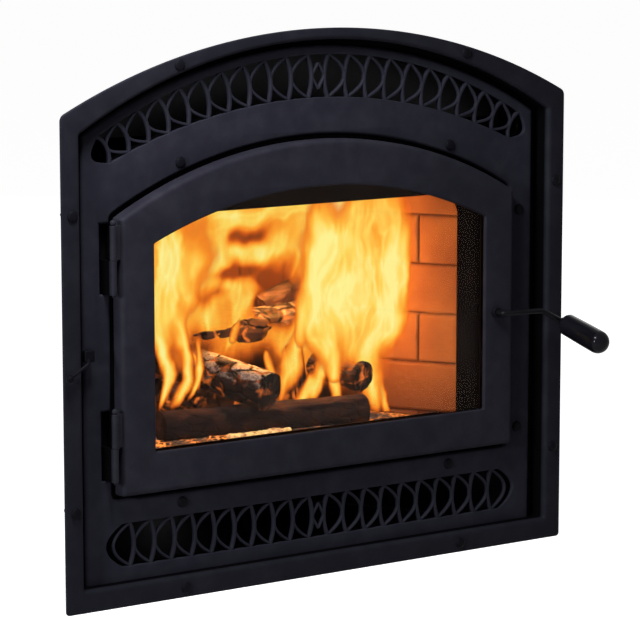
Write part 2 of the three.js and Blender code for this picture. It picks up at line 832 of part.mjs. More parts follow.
const leverRod = 2.5;
const leverTip = [leverX - 36, -8, leverZ - 27];
const knob = new THREE.SphereGeometry(5.5, 12, 8);
knob.translate(...leverTip);
const lever = joined([
  block(leverX - 2.5, leverX + 2.5, 10, shutterFront + 2, leverZ - 4, leverZ + 4),
  block(leverX - 2.5, leverX + 4 - gap, shutterFront, shutterFront + 2, leverZ - 12, leverZ + 12),
  block(leverX - 6, leverX + 12, 3, 17, leverZ - 9, leverZ + 9),
  rod([leverX + 2, 6, leverZ - 4], [leverX - 4, -8, leverZ - 8], leverRod, 10),
  rod([leverX - 3, -8, leverZ - 7], leverTip, leverRod, 10),
  toSolid(knob),
]);
part('air_lever', lever, castIron);

group.position.y = -flueY;

export default group;
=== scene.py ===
import bmesh
import bpy
import numpy as np
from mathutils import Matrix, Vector
from mathutils.geometry import tessellate_polygon


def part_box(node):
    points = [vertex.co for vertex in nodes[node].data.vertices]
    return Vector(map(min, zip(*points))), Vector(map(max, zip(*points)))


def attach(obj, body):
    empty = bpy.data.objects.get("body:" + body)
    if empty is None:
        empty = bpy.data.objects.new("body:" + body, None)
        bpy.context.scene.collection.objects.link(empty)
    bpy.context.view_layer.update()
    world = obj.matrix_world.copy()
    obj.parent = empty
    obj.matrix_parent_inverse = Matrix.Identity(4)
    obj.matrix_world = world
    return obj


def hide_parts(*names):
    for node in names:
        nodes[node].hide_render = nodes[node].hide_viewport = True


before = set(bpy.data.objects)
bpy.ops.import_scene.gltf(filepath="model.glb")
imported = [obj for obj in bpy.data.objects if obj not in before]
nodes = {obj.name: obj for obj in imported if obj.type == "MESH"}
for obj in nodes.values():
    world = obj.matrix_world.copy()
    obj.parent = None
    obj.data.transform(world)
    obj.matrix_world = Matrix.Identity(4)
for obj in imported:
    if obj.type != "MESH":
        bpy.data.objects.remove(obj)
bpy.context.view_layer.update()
pi = np.pi
print("frame loaded:", len(nodes), "nodes")

# Shapes are drawn in millimetres with y = 0 at the front of the face, then moved into the frame.
drawing = {"millimetre": 0.001, "flueDepth": 260, "gap": 0.3}


def toFrame(points):
    # drawing millimetres to frame metres
    flat = np.asarray(points, float).reshape(-1, 3)
    return (flat - [0, drawing["flueDepth"], 0]) * drawing["millimetre"]


def unit(vector):
    # the same direction, one long
    vector = np.asarray(vector, float)
    return vector / np.linalg.norm(vector, axis=-1, keepdims=True)


class Value:
    # one socket of a material, with arithmetic that adds Math nodes
    def __init__(self, finish, socket):
        self.finish, self.socket = finish, socket

    def maths(self, operation, other=0.0, reflected=False):
        first, second = (other, self) if reflected else (self, other)
        return self.finish.node("ShaderNodeMath", {"operation": operation}, {0: first, 1: second})

    def __add__(self, other): return self.maths("ADD", other)
    def __radd__(self, other): return self.maths("ADD", other, True)
    def __sub__(self, other): return self.maths("SUBTRACT", other)
    def __rsub__(self, other): return self.maths("SUBTRACT", other, True)
    def __mul__(self, other): return self.maths("MULTIPLY", other)
    def __rmul__(self, other): return self.maths("MULTIPLY", other, True)
    def least(self, other): return self.maths("MINIMUM", other)
    def most(self, other): return self.maths("MAXIMUM", other)

    def ramp(self, low, high, toLow=0.0, toHigh=1.0):
        # a smooth step from toLow to toHigh as the value goes from low to high
        return self.finish.node("ShaderNodeMapRange", {"interpolation_type": "SMOOTHSTEP"},
                                {"Value": self, "From Min": low, "From Max": high,
                                 "To Min": toLow, "To Max": toHigh})


class Finish:
    # one node tree and its shader: the material of a piece, or the world
    def __init__(self, name, store=bpy.data.materials, shader="Principled BSDF", **fixed):
        self.owner = store.new(name)
        self.owner.use_nodes = True
        self.tree = self.owner.node_tree
        self.shader = self.tree.nodes[shader]
        for key, value in fixed.items():
            self.shader.inputs[key.replace("_", " ")].default_value = value

    def node(self, kind, settings, inputs, out=0):
        made = self.tree.nodes.new(kind)
        for key, value in settings.items():
            if key == "stops":
                ramp = made.color_ramp
                while len(ramp.elements) < len(value):
                    ramp.elements.new(0.5)
                for stop, (place, colour) in zip(ramp.elements, value):
                    stop.position, stop.color = place, (*colour, 1)
            else:
                setattr(made, key, value)
        for key, value in inputs.items():
            self.plug(made.inputs[key], value)
        return Value(self, made.outputs[out])

    def plug(self, socket, value):
        if isinstance(value, Value):
            self.tree.links.new(value.socket, socket)
        else:
            socket.default_value = value

    def feed(self, socket, value):
        self.plug(self.shader.inputs[socket], value)

    def place(self, stretch=(1, 1, 1), shift=(0, 0, 0), source="Object"):
        coordinates = self.node("ShaderNodeTexCoord", {}, {}, source)
        return self.node("ShaderNodeMapping", {},
                         {"Vector": coordinates, "Scale": stretch, "Location": shift})

    def noise(self, scale, detail, rough=0.55, at=None, warp=0.0, out=0):
        return self.node("ShaderNodeTexNoise", {},
                         {"Vector": at or self.place(), "Scale": scale, "Detail": detail,
                          "Roughness": rough, "Distortion": warp}, out)

    def cells(self, scale, feature="F1", at=None, out="Distance", wander=1.0):
        return self.node("ShaderNodeTexVoronoi", {"feature": feature},
                         {"Vector": at or self.place(), "Scale": scale, "Randomness": wander}, out)

    def axis(self, vector, name):
        return self.node("ShaderNodeSeparateXYZ", {}, {0: vector}, name)

    def vector(self, operation, *values, out=0):
        return self.node("ShaderNodeVectorMath", {"operation": operation}, dict(enumerate(values)), out)

    def normal(self):
        return self.node("ShaderNodeNewGeometry", {}, {}, "Normal")

    def blend(self, factor, first, second):
        first = first if isinstance(first, Value) else (*first, 1)
        second = second if isinstance(second, Value) else (*second, 1)
        return self.node("ShaderNodeMix", {"data_type": "RGBA"}, {0: factor, 6: first, 7: second}, 2)

    def colours(self, value, stops):
        return self.node("ShaderNodeValToRGB", {"stops": stops}, {0: value})

    def done(self, colour, rough, height=None, grain=0.0):
        # colour, roughness and the relief of a height over grain metres
        self.feed("Base Color", colour)
        self.feed("Roughness", rough)
        if height:
            self.feed("Normal", self.node("ShaderNodeBump", {}, {"Height": height, "Distance": grain}))
        return self


# Black paints: the colour where clear and where dust or handling shows, roughness and gloss. A slot is the
# pair of depths, in frame metres, over which painted shade turns the paint near black behind the face.
coat = {"broad": 5, "smudge": 32, "peel": 900, "pores": 2600, "dust": (0.38, 0.72), "broadSheen": 0.12,
        "smudgeSheen": 0.16, "paintedSlotShade": (0.0008, 0.0008, 0.001), "grain": 0.00006, "ironGrain": 0.00012}
paints = {
    "surround": {"name": "black_powder_coat_surround", "clear": (0.0068, 0.0067, 0.0098),
                 "dusty": (0.0104, 0.0102, 0.0140), "rough": 0.50, "gloss": 0.018, "slot": (-0.2545, -0.247)},
    "panel": {"name": "black_powder_coat_panel", "clear": (0.0100, 0.0098, 0.0148),
              "dusty": (0.0152, 0.0149, 0.0208), "rough": 0.48, "gloss": 0.018, "slot": (-0.2345, -0.229)},
    "door": {"name": "black_stove_paint_door", "clear": (0.0102, 0.0098, 0.0142),
             "dusty": (0.0155, 0.0150, 0.0204), "rough": 0.52, "gloss": 0.018},
    "hinge": {"name": "black_stove_paint_hinge", "clear": (0.0090, 0.0088, 0.0125),
              "dusty": (0.0140, 0.0136, 0.0180), "rough": 0.52, "gloss": 0.03, "grain": coat["ironGrain"],
              "slot": (-0.2572, -0.2535)},
    "bolt": {"name": "black_painted_bolt", "clear": (0.0022, 0.0022, 0.0034),
             "dusty": (0.0042, 0.0042, 0.0056), "rough": 0.50, "gloss": 0.02},
    "rod": {"name": "black_painted_rod", "clear": (0.0020, 0.0020, 0.0028),
            "dusty": (0.0040, 0.0040, 0.0050), "rough": 0.34, "gloss": 0.04},
    "sooty": {"name": "sooty_plate", "clear": (0.0042, 0.0019, 0.0011), "dusty": (0.0125, 0.0052, 0.0028),
              "rough": 0.80, "gloss": 0.01, "grain": coat["ironGrain"]},
    # hollow: black paint made far darker than the outer coat, as painted shade on the sheets behind the face
    "hollow": {"name": "black_paint_with_painted_shade_behind_face", "clear": (0.0010, 0.0010, 0.0013),
               "dusty": (0.0022, 0.0022, 0.0026), "rough": 0.70, "gloss": 0.01},
}


def paintFinish(name, clear, dusty, rough, gloss, grain=coat["grain"], slot=None):
    # satin black coat: fine orange peel, slow changes of sheen, and a trace of dust
    made = Finish(name, Specular_IOR_Level=gloss, IOR=1.5)
    broad = made.noise(coat["broad"], 2)
    smudge = made.noise(coat["smudge"], 6, 0.65)
    peel = made.noise(coat["peel"], 2, 0.5)
    pores = made.cells(coat["pores"])
    colour = made.blend((smudge * 0.7 + broad * 0.3).ramp(*coat["dust"]), clear, dusty)
    # painted shade: deeper than the face, in slots and recesses, the paint is turned near black
    if slot:
        colour = made.blend(made.axis(made.place(), "Y").ramp(*slot), colour, coat["paintedSlotShade"])
    sheen = (broad - 0.5) * coat["broadSheen"] + (smudge - 0.5) * coat["smudgeSheen"]
    return made.done(colour, rough + sheen, peel + pores * 0.35, grain)


finishes = {key: paintFinish(**look) for key, look in paints.items()}

gripLook = {"dark": (0.0016, 0.0016, 0.0026), "light": (0.004, 0.004, 0.0056), "flow": 26, "scratch": 480,
            "rough": 0.17, "scratched": 0.14, "flowed": 0.05, "grain": 0.00002}


def gripFinish(look):
    # glossy moulded black grip: faint flow lines and fine handling scratches
    grip = Finish("gloss_black_grip", Coat_Weight=0.08, Coat_Roughness=0.07, Specular_IOR_Level=0.02)
    flow = grip.noise(look["flow"], 4, at=grip.place((1, 0.2, 1)))
    scratch = grip.noise(look["scratch"], 3, 0.7, at=grip.place((1, 0.04, 1)))
    colour = grip.blend(flow.ramp(0.3, 0.7), look["dark"], look["light"])
    worn = (scratch - 0.5).ramp(0.02, 0.2) * look["scratched"]
    return grip.done(colour, look["rough"] + worn + flow * look["flowed"], scratch, look["grain"])


steelLook = {"dark": (0.07, 0.05, 0.045), "stain": (0.16, 0.09, 0.055), "light": (0.30, 0.23, 0.17),
             "mill": (0.012, 0.011, 0.010), "tint": 11, "scale": 140, "streak": 60, "rough": 0.42,
             "grain": 0.00015}


def steelFinish(look):
    # bare plate that has been hot: brown and blue temper tints, soot and mill scale
    steel = Finish("heat_tinted_steel", Metallic=0.75, Specular_IOR_Level=0.4)
    tint = steel.noise(look["tint"], 4, warp=0.6)
    scale = steel.noise(look["scale"], 5, 0.7)
    streak = steel.noise(look["streak"], 3, at=steel.place((1, 1, 0.12)))
    stops = [(0.25, look["dark"]), (0.48, look["stain"]), (0.62, look["light"]), (0.8, look["dark"])]
    colour = steel.colours(tint * 0.7 + streak * 0.3, stops)
    colour = steel.blend(scale.ramp(0.5, 0.68), colour, look["mill"])
    return steel.done(colour, look["rough"] + scale * 0.3, scale + streak * 0.4, look["grain"])


# The used colour is painted shade: the near black of faces inside a box.
zincLook = {"dull": (0.13, 0.137, 0.145), "bright": (0.34, 0.352, 0.365), "bloomed": (0.36, 0.365, 0.365),
            "used": (0.004, 0.004, 0.004), "spangle": 62, "warp": 40, "facet": 380, "bloom": 6,
            "rough": 0.30, "toned": 0.16, "dusted": 0.2, "grain": 0.00012}


def zincFinish(name, middle, look):
    # zinc spangle: large angular crystals that differ in tone and sheen, with white bloom and dust;
    # faces that look towards the middle of the box they close are turned near black: painted shade inside the
    # box
    zinc = Finish(name, Metallic=0.85, Specular_IOR_Level=0.5)
    at = zinc.place()
    warp = zinc.vector("ADD", at, zinc.noise(look["warp"], 2, 0.5, at, out="Color"))
    tone = zinc.axis(zinc.cells(look["spangle"], at=warp, out="Color"), "X")
    facet = zinc.noise(look["facet"], 3, at=zinc.place((1, 1, 0.3)))
    bloom = zinc.noise(look["bloom"], 5, 0.65)
    grey = zinc.blend(tone, look["dull"], look["bright"])
    grey = zinc.blend(bloom.ramp(0.52, 0.8, 0, 0.5), grey, look["bloomed"])
    fromMiddle = zinc.place(shift=tuple(-m for m in middle))
    outward = zinc.vector("DOT_PRODUCT", zinc.normal(), fromMiddle, out="Value")
    # painted shade: faces that look inwards take the used colour
    colour = zinc.blend(outward.ramp(-0.02, 0.02), look["used"], grey)
    rough = look["rough"] + tone * look["toned"] + bloom.ramp(0.45, 0.75) * look["dusted"]
    return zinc.done(colour, rough, tone * 0.6 + facet * 0.5, look["grain"])


brickLook = {"clay": (0.54, 0.185, 0.036), "darkClay": (0.38, 0.110, 0.020), "sandy": (0.62, 0.26, 0.060),
             "iron": (0.16, 0.050, 0.018), "joint": (0.050, 0.013, 0.005), "soot": (0.030, 0.010, 0.004),
             "shade": (0.045, 0.015, 0.005), "sand": 700, "blotch": 13, "spot": 120, "highSoot": 0.25,
             "rearDarkening": 0.90, "edgeShade": 0.56, "lowShade": 0.72, "rough": 0.82, "grain": 0.0007}


def brickFinish(look):
    # firebrick: sandy speckle, iron spots, dark joints from its own map, soot that thickens upwards,
    # darkening towards the rear, and painted shade towards the mouth and the hearth
    brick = Finish("refractory_brick", Specular_IOR_Level=0.15)
    at = brick.place()
    depth, height = brick.axis(at, "Y"), brick.axis(at, "Z")
    sand = brick.noise(look["sand"], 4, 0.7)
    blotch = brick.noise(look["blotch"], 5, 0.6)
    uneven = blotch - 0.5
    spot = brick.cells(look["spot"]).ramp(0.05, 0.16)
    joint = brick.axis(brick.place(source="UV"), "X")
    high = (height * 2.2 - 0.55 + uneven * 1.3).ramp(0.1, 0.9) * look["highSoot"]
    # darker towards the rear, blended in with the soot colour
    deep = (depth + uneven * 0.08).ramp(-0.09, 0.0) * look["rearDarkening"]
    # painted shade: darker towards the mouth and towards the hearth
    edge = (depth + uneven * 0.08).ramp(-0.20, -0.05, 1, 0) * look["edgeShade"]
    low = (height + uneven * 0.10).ramp(0.20, 0.40, 1, 0) * look["lowShade"]
    clay = brick.blend(blotch.ramp(0.35, 0.65), look["clay"], look["darkClay"])
    for share, colour in ((sand.ramp(0.35, 0.75, 0, 0.40), "sandy"), ((1 - spot) * 0.5, "iron"),
                          (joint * 0.85, "joint"), (high.most(deep), "soot"), (edge.most(low), "shade")):
        clay = brick.blend(share, clay, look[colour])
    return brick.done(clay, look["rough"] + sand * 0.15, sand + (1 - spot) * -0.6 + blotch, look["grain"])


ropeLook = {"dark": (0.035, 0.033, 0.03), "pale": (0.17, 0.16, 0.145), "strands": 6, "fuzz": 2200,
            "rough": 0.85, "grain": 0.0009}


def ropeFinish(look):
    # braided glass fibre: two families of slanting strands from the piece's own map
    rope = Finish("braided_rope", Specular_IOR_Level=0.25)
    at = rope.place(source="UV")
    across, along = rope.axis(at, "X") * look["strands"], rope.axis(at, "Y")
    left, right = [(slant * (2 * pi)).maths("SINE") for slant in (along + across, along - across)]
    strand = left.most(right)
    fuzz = rope.noise(look["fuzz"], 3)
    colour = rope.blend(strand.ramp(-0.2, 0.9) * 0.7 + fuzz * 0.3, look["dark"], look["pale"])
    return rope.done(colour, look["rough"] + fuzz * 0.12, strand + fuzz * 0.3, look["grain"])


glassLook = {"clear": (0.99, 0.98, 0.96), "veiled": (0.86, 0.80, 0.72), "veil": 7, "rough": 0.008}


def glassFinish(look):
    # clear ceramic glass with a faint brown veil of soot in broad patches
    glass = Finish("clear_ceramic_glass", Transmission_Weight=1.0, IOR=1.1, Specular_IOR_Level=0.2)
    veil = glass.noise(look["veil"], 4, 0.6)
    colour = glass.blend(veil.ramp(0.5, 0.85, 0, 0.35), look["clear"], look["veiled"])
    return glass.done(colour, look["rough"] + veil.ramp(0.5, 0.8) * 0.02)


# Burnt logs: block, bark and fibres count repeats round the log and along it; crack is a width in blocks.
charLook = {"block": (9, 34), "bark": (5, 9), "fibres": (26, 7), "crack": 0.13, "warp": 60,
            "soot": 45, "fibre": 260, "swirl": (0.05, 0.012, 0), "ash": (0.40, 0.34, 0.29),
            "cracked": (0.006, 0.004, 0.003), "ember": (1.0, 0.22, 0.03), "rough": 0.86, "grain": 0.0018}
burnt = {
    "char": {"name": "charred_log", "crust": (0.016, 0.009, 0.006), "brown": (0.055, 0.024, 0.012),
             "ash": 0.25, "glow": 0.9, "cracked": 1.0},
    "ashy": {"name": "ash_covered_log", "crust": (0.016, 0.010, 0.008), "brown": (0.050, 0.026, 0.018),
             "ash": 1.5, "glow": 0.5, "cracked": 1.0},
    "bark": {"name": "scorched_log", "crust": (0.011, 0.0045, 0.0032), "brown": (0.034, 0.0125, 0.0080),
             "ash": 0.08, "glow": 0.15, "cracked": 0.35},
}


def charFinish(name, crust, brown, ash, glow, cracked):
    # burnt log, on its own map (round the log, and metres along it): blocky cracks with heat in the deepest,
    # long grain, and grey ash on what faces up; cracked = 0 leaves grain and bark only
    log = Finish(name, Specular_IOR_Level=0.12, Emission_Strength=1.0)
    bend = log.vector("MULTIPLY_ADD", log.noise(charLook["warp"], 2, 0.5, out="Color"), charLook["swirl"],
                      log.place(source="UV"))

    def stretched(key):
        return log.node("ShaderNodeMapping", {}, {"Vector": bend, "Scale": (*charLook[key], 1)})

    warp = log.noise(charLook["soot"], 4)
    block = log.cells(1, "DISTANCE_TO_EDGE", at=stretched("block"), wander=0.8)
    crack = block.ramp(0.0, charLook["crack"], 1, 0) * cracked
    grain = log.noise(1, 4, 0.6, at=stretched("fibres"))
    ridge = log.noise(1, 3, 0.55, at=stretched("bark"))
    fibre = log.noise(charLook["fibre"], 5, 0.7)
    dust = (log.axis(log.normal(), "Z") + (warp - 0.5) * 2.2).ramp(0.25, 1.15)
    body = log.blend((warp * 0.5 + grain * 0.5).ramp(0.40, 0.60), crust, brown)
    body = log.blend((dust * ash * fibre.ramp(0.3, 0.62)).least(1.0), body, charLook["ash"])
    heat = crack * warp.ramp(0.50, 0.68) * glow
    log.feed("Emission Color", log.blend(heat, (0, 0, 0), charLook["ember"]))
    height = fibre * 0.4 + ridge * 1.2 + grain * 0.6 - crack * 1.4
    colour = log.blend(crack, body, charLook["cracked"])
    return log.done(colour, charLook["rough"] + fibre * 0.1, height, charLook["grain"])


ashLook = {"dark": (0.05, 0.034, 0.026), "pale": (0.21, 0.155, 0.12), "charcoal": (0.035, 0.02, 0.014),
           "ember": (1.0, 0.27, 0.035), "flake": 260, "bed": 22, "coal": 85, "rough": 0.9, "grain": 0.0012}


def ashFinish(look):
    # ash bed: pale flakes over charcoal, with glowing embers where the heat lies
    ash = Finish("ash_and_embers", Specular_IOR_Level=0.1, Emission_Strength=1.6)
    flake = ash.noise(look["flake"], 5, 0.7)
    bed = ash.noise(look["bed"], 4, 0.6)
    coal = ash.cells(look["coal"], "DISTANCE_TO_EDGE").ramp(0.02, 0.2)
    pale = ash.blend(flake.ramp(0.35, 0.65), look["dark"], look["pale"])
    colour = ash.blend(bed.ramp(0.42, 0.6) * coal, pale, look["charcoal"])
    heat = (1 - coal) * bed.ramp(0.40, 0.62) + bed.ramp(0.60, 0.74) * 0.7
    ash.feed("Emission Color", ash.blend(heat.least(1.0), (0, 0, 0), look["ember"]))
    return ash.done(colour, look["rough"] + flake * 0.08, flake + coal, look["grain"])


coalLook = {"dark": (0.05, 0.03, 0.02), "pale": (0.30, 0.24, 0.20), "cool": (0.35, 0.035, 0.006),
            "hot": (1.0, 0.62, 0.18), "skin": 150, "broad": 24, "rough": 0.85, "grain": 0.0008}


def coalFinish(look):
    # glowing charcoal: bright yellow-orange with a broken skin of cooler ash
    coal = Finish("glowing_coal", Specular_IOR_Level=0.1, Emission_Strength=1.0)
    skin = coal.noise(look["skin"], 5, 0.7)
    broad = coal.noise(look["broad"], 3, 0.6)
    heat = (skin * 0.6 + broad * 0.6).ramp(0.42, 0.66)
    coal.feed("Emission Color", coal.blend(heat, look["cool"], look["hot"]))
    colour = coal.blend(skin.ramp(0.3, 0.7), look["dark"], look["pale"])
    return coal.done(colour, look["rough"] + skin * 0.1, skin, look["grain"])


flameLook = {"streak": 90, "rise": 0.3, "tear": 0.14, "clear": 0.12, "full": 0.44, "solid": 0.96, "heat": [
    (0.0, (0.70, 0.11, 0.006)), (0.30, (0.80, 0.15, 0.009)), (0.46, (0.93, 0.27, 0.018)),
    (0.60, (1.0, 0.44, 0.040)), (0.78, (1.0, 0.70, 0.115)), (1.0, (1.0, 0.90, 0.30))]}


def flameFinish(look):
    # fire: the sheet's heat, kept as the first coordinate of its map and torn by fine rising streaks,
    # sets both colour and cover
    fire = Finish("flame", Specular_IOR_Level=0.0, Emission_Strength=1.0)
    heat = fire.axis(fire.place(source="UV"), "X")
    streak = fire.noise(look["streak"], 3, 0.6, at=fire.place((1, 1, look["rise"])), warp=0.5)
    heat = heat * (1 + (streak - 0.5) * (2 * look["tear"]))
    fire.feed("Alpha", heat.ramp(look["clear"], look["full"]) * look["solid"])
    fire.feed("Emission Color", fire.colours(heat, look["heat"]))
    fire.owner.cycles.emission_sampling = "NONE"
    return fire.done((0, 0, 0, 1), 1.0)


finishes.update({key: charFinish(**look) for key, look in burnt.items()})
finishes.update({
    "grip": gripFinish(gripLook), "steel": steelFinish(steelLook), "brick": brickFinish(brickLook),
    "zinc": zincFinish("galvanised_sheet", (0, 0, 0.35), zincLook),
    "zincHood": zincFinish("galvanised_hood", (0, -0.19, 0.70), zincLook), "rope": ropeFinish(ropeLook),
    "glass": glassFinish(glassLook), "ash": ashFinish(ashLook), "coal": coalFinish(coalLook),
    "flame": flameFinish(flameLook),
})
print("finishes made:", len(finishes))


def gridFaces(rows, columns, closeRows=False, closeColumns=False):
    # the quads between neighbouring points of a grid, which may close on itself either way
    row = np.arange(rows if closeRows else rows - 1)
    column = np.arange(columns if closeColumns else columns - 1)
    row, column = np.meshgrid(row, column, indexing="ij")
    nextRow, nextColumn = (row + 1) % rows, (column + 1) % columns
    corners = [row * columns + column, row * columns + nextColumn,
               nextRow * columns + nextColumn, nextRow * columns + column]
    return np.stack(corners, -1).reshape(-1, 4).tolist()


def gridMap(rows, columns, alongScale):
    # a map for the quads of a grid closed across: across from 0 to 1, and along from 0 to alongScale
    row, column = np.meshgrid(np.arange(rows - 1), np.arange(columns), indexing="ij")
    across = np.stack([column, column + 1, column + 1, column], -1) / columns
    along = np.stack([row, row, row + 1, row + 1], -1) / (rows - 1) * alongScale
    return np.stack([across, along], -1).reshape(-1, 2)


def turned(parts, order):
    # the same parts with their three axes in another order
    return [(np.reshape(points, (-1, 3))[:, order], faces) for points, faces in parts]


def makePiece(name, parts, body, finish, stands=(), crease=34, closed=True, uv=None):
    # one mesh of all the parts, given its finish, the body that carries it and the solids it stands for
    mesh = bpy.data.meshes.new(name)
    faces, start = [], 0
    for points, own in parts:
        faces += [[index + start for index in face] for face in own]
        start += np.reshape(points, (-1, 3)).shape[0]
    mesh.from_pydata(np.concatenate([toFrame(points) for points, own in parts]).tolist(), [], faces)
    if uv is not None:
        mesh.uv_layers.new(name="map").data.foreach_set("uv", np.asarray(uv, float).ravel())
    if closed:
        whole = bmesh.new()
        whole.from_mesh(mesh)
        bmesh.ops.remove_doubles(whole, verts=whole.verts, dist=2e-6)
        bmesh.ops.recalc_face_normals(whole, faces=whole.faces)
        whole.to_mesh(mesh)
        whole.free()
    mesh.polygons.foreach_set("use_smooth", np.ones(len(mesh.polygons), bool))
    mesh.set_sharp_from_angle(angle=np.radians(crease))
    mesh.materials.append(finishes[finish].owner)
    piece = bpy.data.objects.new(name, mesh)
    bpy.context.scene.collection.objects.link(piece)
    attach(piece, body)
    if stands:
        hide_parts(*stands)
    return piece


def arc(centreX, centreZ, radius, start, end, steps):
    # points on a circle at even angles from start to end
    angle = np.linspace(start, end, steps + 1)
    return np.stack([centreX + radius * np.cos(angle), centreZ + radius * np.sin(angle)], -1)


def archLine(shape, by, crown=72, corner=6):
    # upright sides under one flat arc with rounded corners; by moves the whole line outwards
    half, foot = shape["half"] + by, shape["foot"] - by
    apex, radius = shape["apex"] + by, shape["radius"] + by
    head, toe = max(shape["head"] + by, 0.3), max(shape["toe"] + by, 0.3)
    centre = apex - radius
    rise = np.sqrt((radius - head) ** 2 - (half - head) ** 2)
    lean = np.arctan2(rise, half - head)
    right = np.concatenate([arc(half - toe, foot + toe, toe, -pi / 2, 0, corner),
                            arc(half - head, centre + rise, head, 0, lean, corner)])
    top = arc(0, centre, radius, lean, pi - lean, crown)[1:-1]
    return np.concatenate([right, top, right[::-1] * [-1, 1]])


def rectLine(low, high, by, corner, steps=4):
    # a rectangle from corner low to corner high with rounded corners
    (left, foot), (right, head) = np.subtract(low, by), np.add(high, by)
    radius = max(corner + by, 0.15)
    spots = [(right, foot, 1, -1, -0.5), (right, head, 1, 1, 0),
             (left, head, -1, 1, 0.5), (left, foot, -1, -1, 1)]
    return np.concatenate([
        arc(x - sideX * radius, z - sideZ * radius, radius, turn * pi, (turn + 0.5) * pi, steps)
        for x, z, sideX, sideZ, turn in spots])


def roundEdge(thick, radius, rear=0.4, steps=5):
    # an edge as (inset, depth) pairs: a quarter round from the front face, then straight back
    angle = np.linspace(0, pi / 2, steps + 1)
    front = np.stack([radius - radius * np.sin(angle), radius - radius * np.cos(angle)], -1)
    return np.concatenate([front, [[0, thick - rear], [rear, thick]]])


def turnedEdge(thick, bend, depth, steps=6):
    # the edge of a sheet that is folded back: outer bend, wall, end of the wall, and the inner bend
    angle = np.linspace(0, pi / 2, steps + 1)
    outer = np.stack([bend - bend * np.sin(angle), bend - bend * np.cos(angle)], -1)
    inner = max(bend - thick, 0.2)
    fold = np.stack([bend - inner * np.cos(angle), bend - inner * np.sin(angle)], -1)
    end = [[0, depth - 0.4], [0.4, depth], [thick - 0.4, depth], [thick, depth - 0.4]]
    return np.concatenate([outer, end, fold])


def sheet(loops, front):
    # A flat sheet between outlines. Each loop is (line, side, edge): line(by) gives the outline moved
    # outwards by a distance, side is 1 for the outer edge and -1 for a hole, edge gives (inset, depth) rows.
    parts, caps = [], {0: [], -1: []}
    for line, side, edge in loops:
        rows = np.stack([np.insert(line(-side * inset), 1, front + depth, axis=1) for inset, depth in edge])
        parts.append((rows, gridFaces(rows.shape[0], rows.shape[1], closeColumns=True)))
        for end in caps:
            caps[end].append(rows[end])
    for rings in caps.values():
        flat = [[Vector((x, z, 0)) for x, y, z in ring] for ring in rings]
        parts.append((np.concatenate(rings), [list(face) for face in tessellate_polygon(flat)]))
    return parts


def slab(low, high, front, rear, corner, radius):
    # a rounded plate over the rectangle from low to high
    thick = rear - front
    edge = roundEdge(thick, radius, radius * 0.7)
    return sheet([(lambda by: rectLine(low, high, by, corner), 1, edge)], front)


def bar(path, width, front, rear, crown=0.5):
    # a bar of even width along a flat path, its front rounded off towards both sides
    run = unit(np.gradient(path, axis=0))
    side = np.stack([run[:, 1], -run[:, 0]], -1)
    across = np.linspace(-1, 1, 7)
    depth = np.concatenate([front + crown * across ** 4 * 2, [rear, rear]])
    across = np.concatenate([across, [1, -1]]) * width / 2
    flat = path[:, None] + side[:, None] * across[None, :, None]
    points = np.stack([flat[..., 0], np.broadcast_to(depth, flat.shape[:2]), flat[..., 1]], -1)
    rows, columns = flat.shape[:2]
    ends = [list(range(columns)), list(range((rows - 1) * columns, rows * columns))]
    return points, gridFaces(rows, columns, closeColumns=True) + ends


def lathe(profile, centre, axis, sides, hollow=False):
    # (along, radius) pairs turned about an axis; a hollow one closes its profile on itself
    profile, axis = np.array(profile, float), unit(axis)
    first = unit(np.cross(axis, [0.3, 0.5, 0.81]))
    second = np.cross(axis, first)
    angle = np.arange(sides) * 2 * pi / sides
    ring = np.cos(angle)[:, None] * first + np.sin(angle)[:, None] * second
    points = np.array(centre, float) + profile[:, 0, None, None] * axis + profile[:, 1, None, None] * ring
    return points, gridFaces(len(profile), sides, closeRows=hollow, closeColumns=True)


def softPath(corners, ease, steps=8):
    # straight runs joined by quadratic curves that start a distance ease before each corner
    corners = np.array(corners, float)
    share = np.linspace(0, 1, steps)[:, None]
    runs = [corners[:1]]
    for before, corner, after in zip(corners[:-2], corners[1:-1], corners[2:]):
        start, end = corner + ease * unit(before - corner), corner + ease * unit(after - corner)
        runs.append((1 - share) ** 2 * start + 2 * share * (1 - share) * corner + share ** 2 * end)
    return np.concatenate(runs + [corners[-1:]])


def tube(path, radius, sides, tip=1.0):
    # a round bar along a path, with its two ends rounded over the last tip millimetres
    path = np.array(path, float)
    run = unit(np.gradient(path, axis=0))
    nearest = np.argmin(np.abs(run).sum(0))
    side = unit(np.cross(run, np.eye(3)[nearest]))
    up = np.cross(side, run)
    angle = np.arange(sides) * 2 * pi / sides
    radius = np.broadcast_to(radius, len(path))
    bend = np.linspace(0, pi / 2, 4)[:, None]
    startRun = path[0] + run[0] * tip * (1 - np.sin(bend))
    endRun = path[-1] - run[-1] * tip * (1 - np.sin(bend[::-1]))
    shrink = tip * (1 - np.cos(bend[:, 0]))
    centres = np.concatenate([startRun[::-1], path[1:-1], endRun[::-1]])
    sizes = np.concatenate([radius[0] - shrink[::-1], radius[1:-1], radius[-1] - shrink])
    pick = np.concatenate([np.zeros(4, int), np.arange(1, len(path) - 1), np.full(4, len(path) - 1)])
    ring = (np.cos(angle)[None, :, None] * side[pick][:, None]
            + np.sin(angle)[None, :, None] * up[pick][:, None])
    points = centres[:, None] + sizes[:, None, None] * ring
    rows = len(centres)
    ends = [list(range(sides)), list(range((rows - 1) * sides, rows * sides))]
    return points, gridFaces(rows, sides, closeColumns=True) + ends


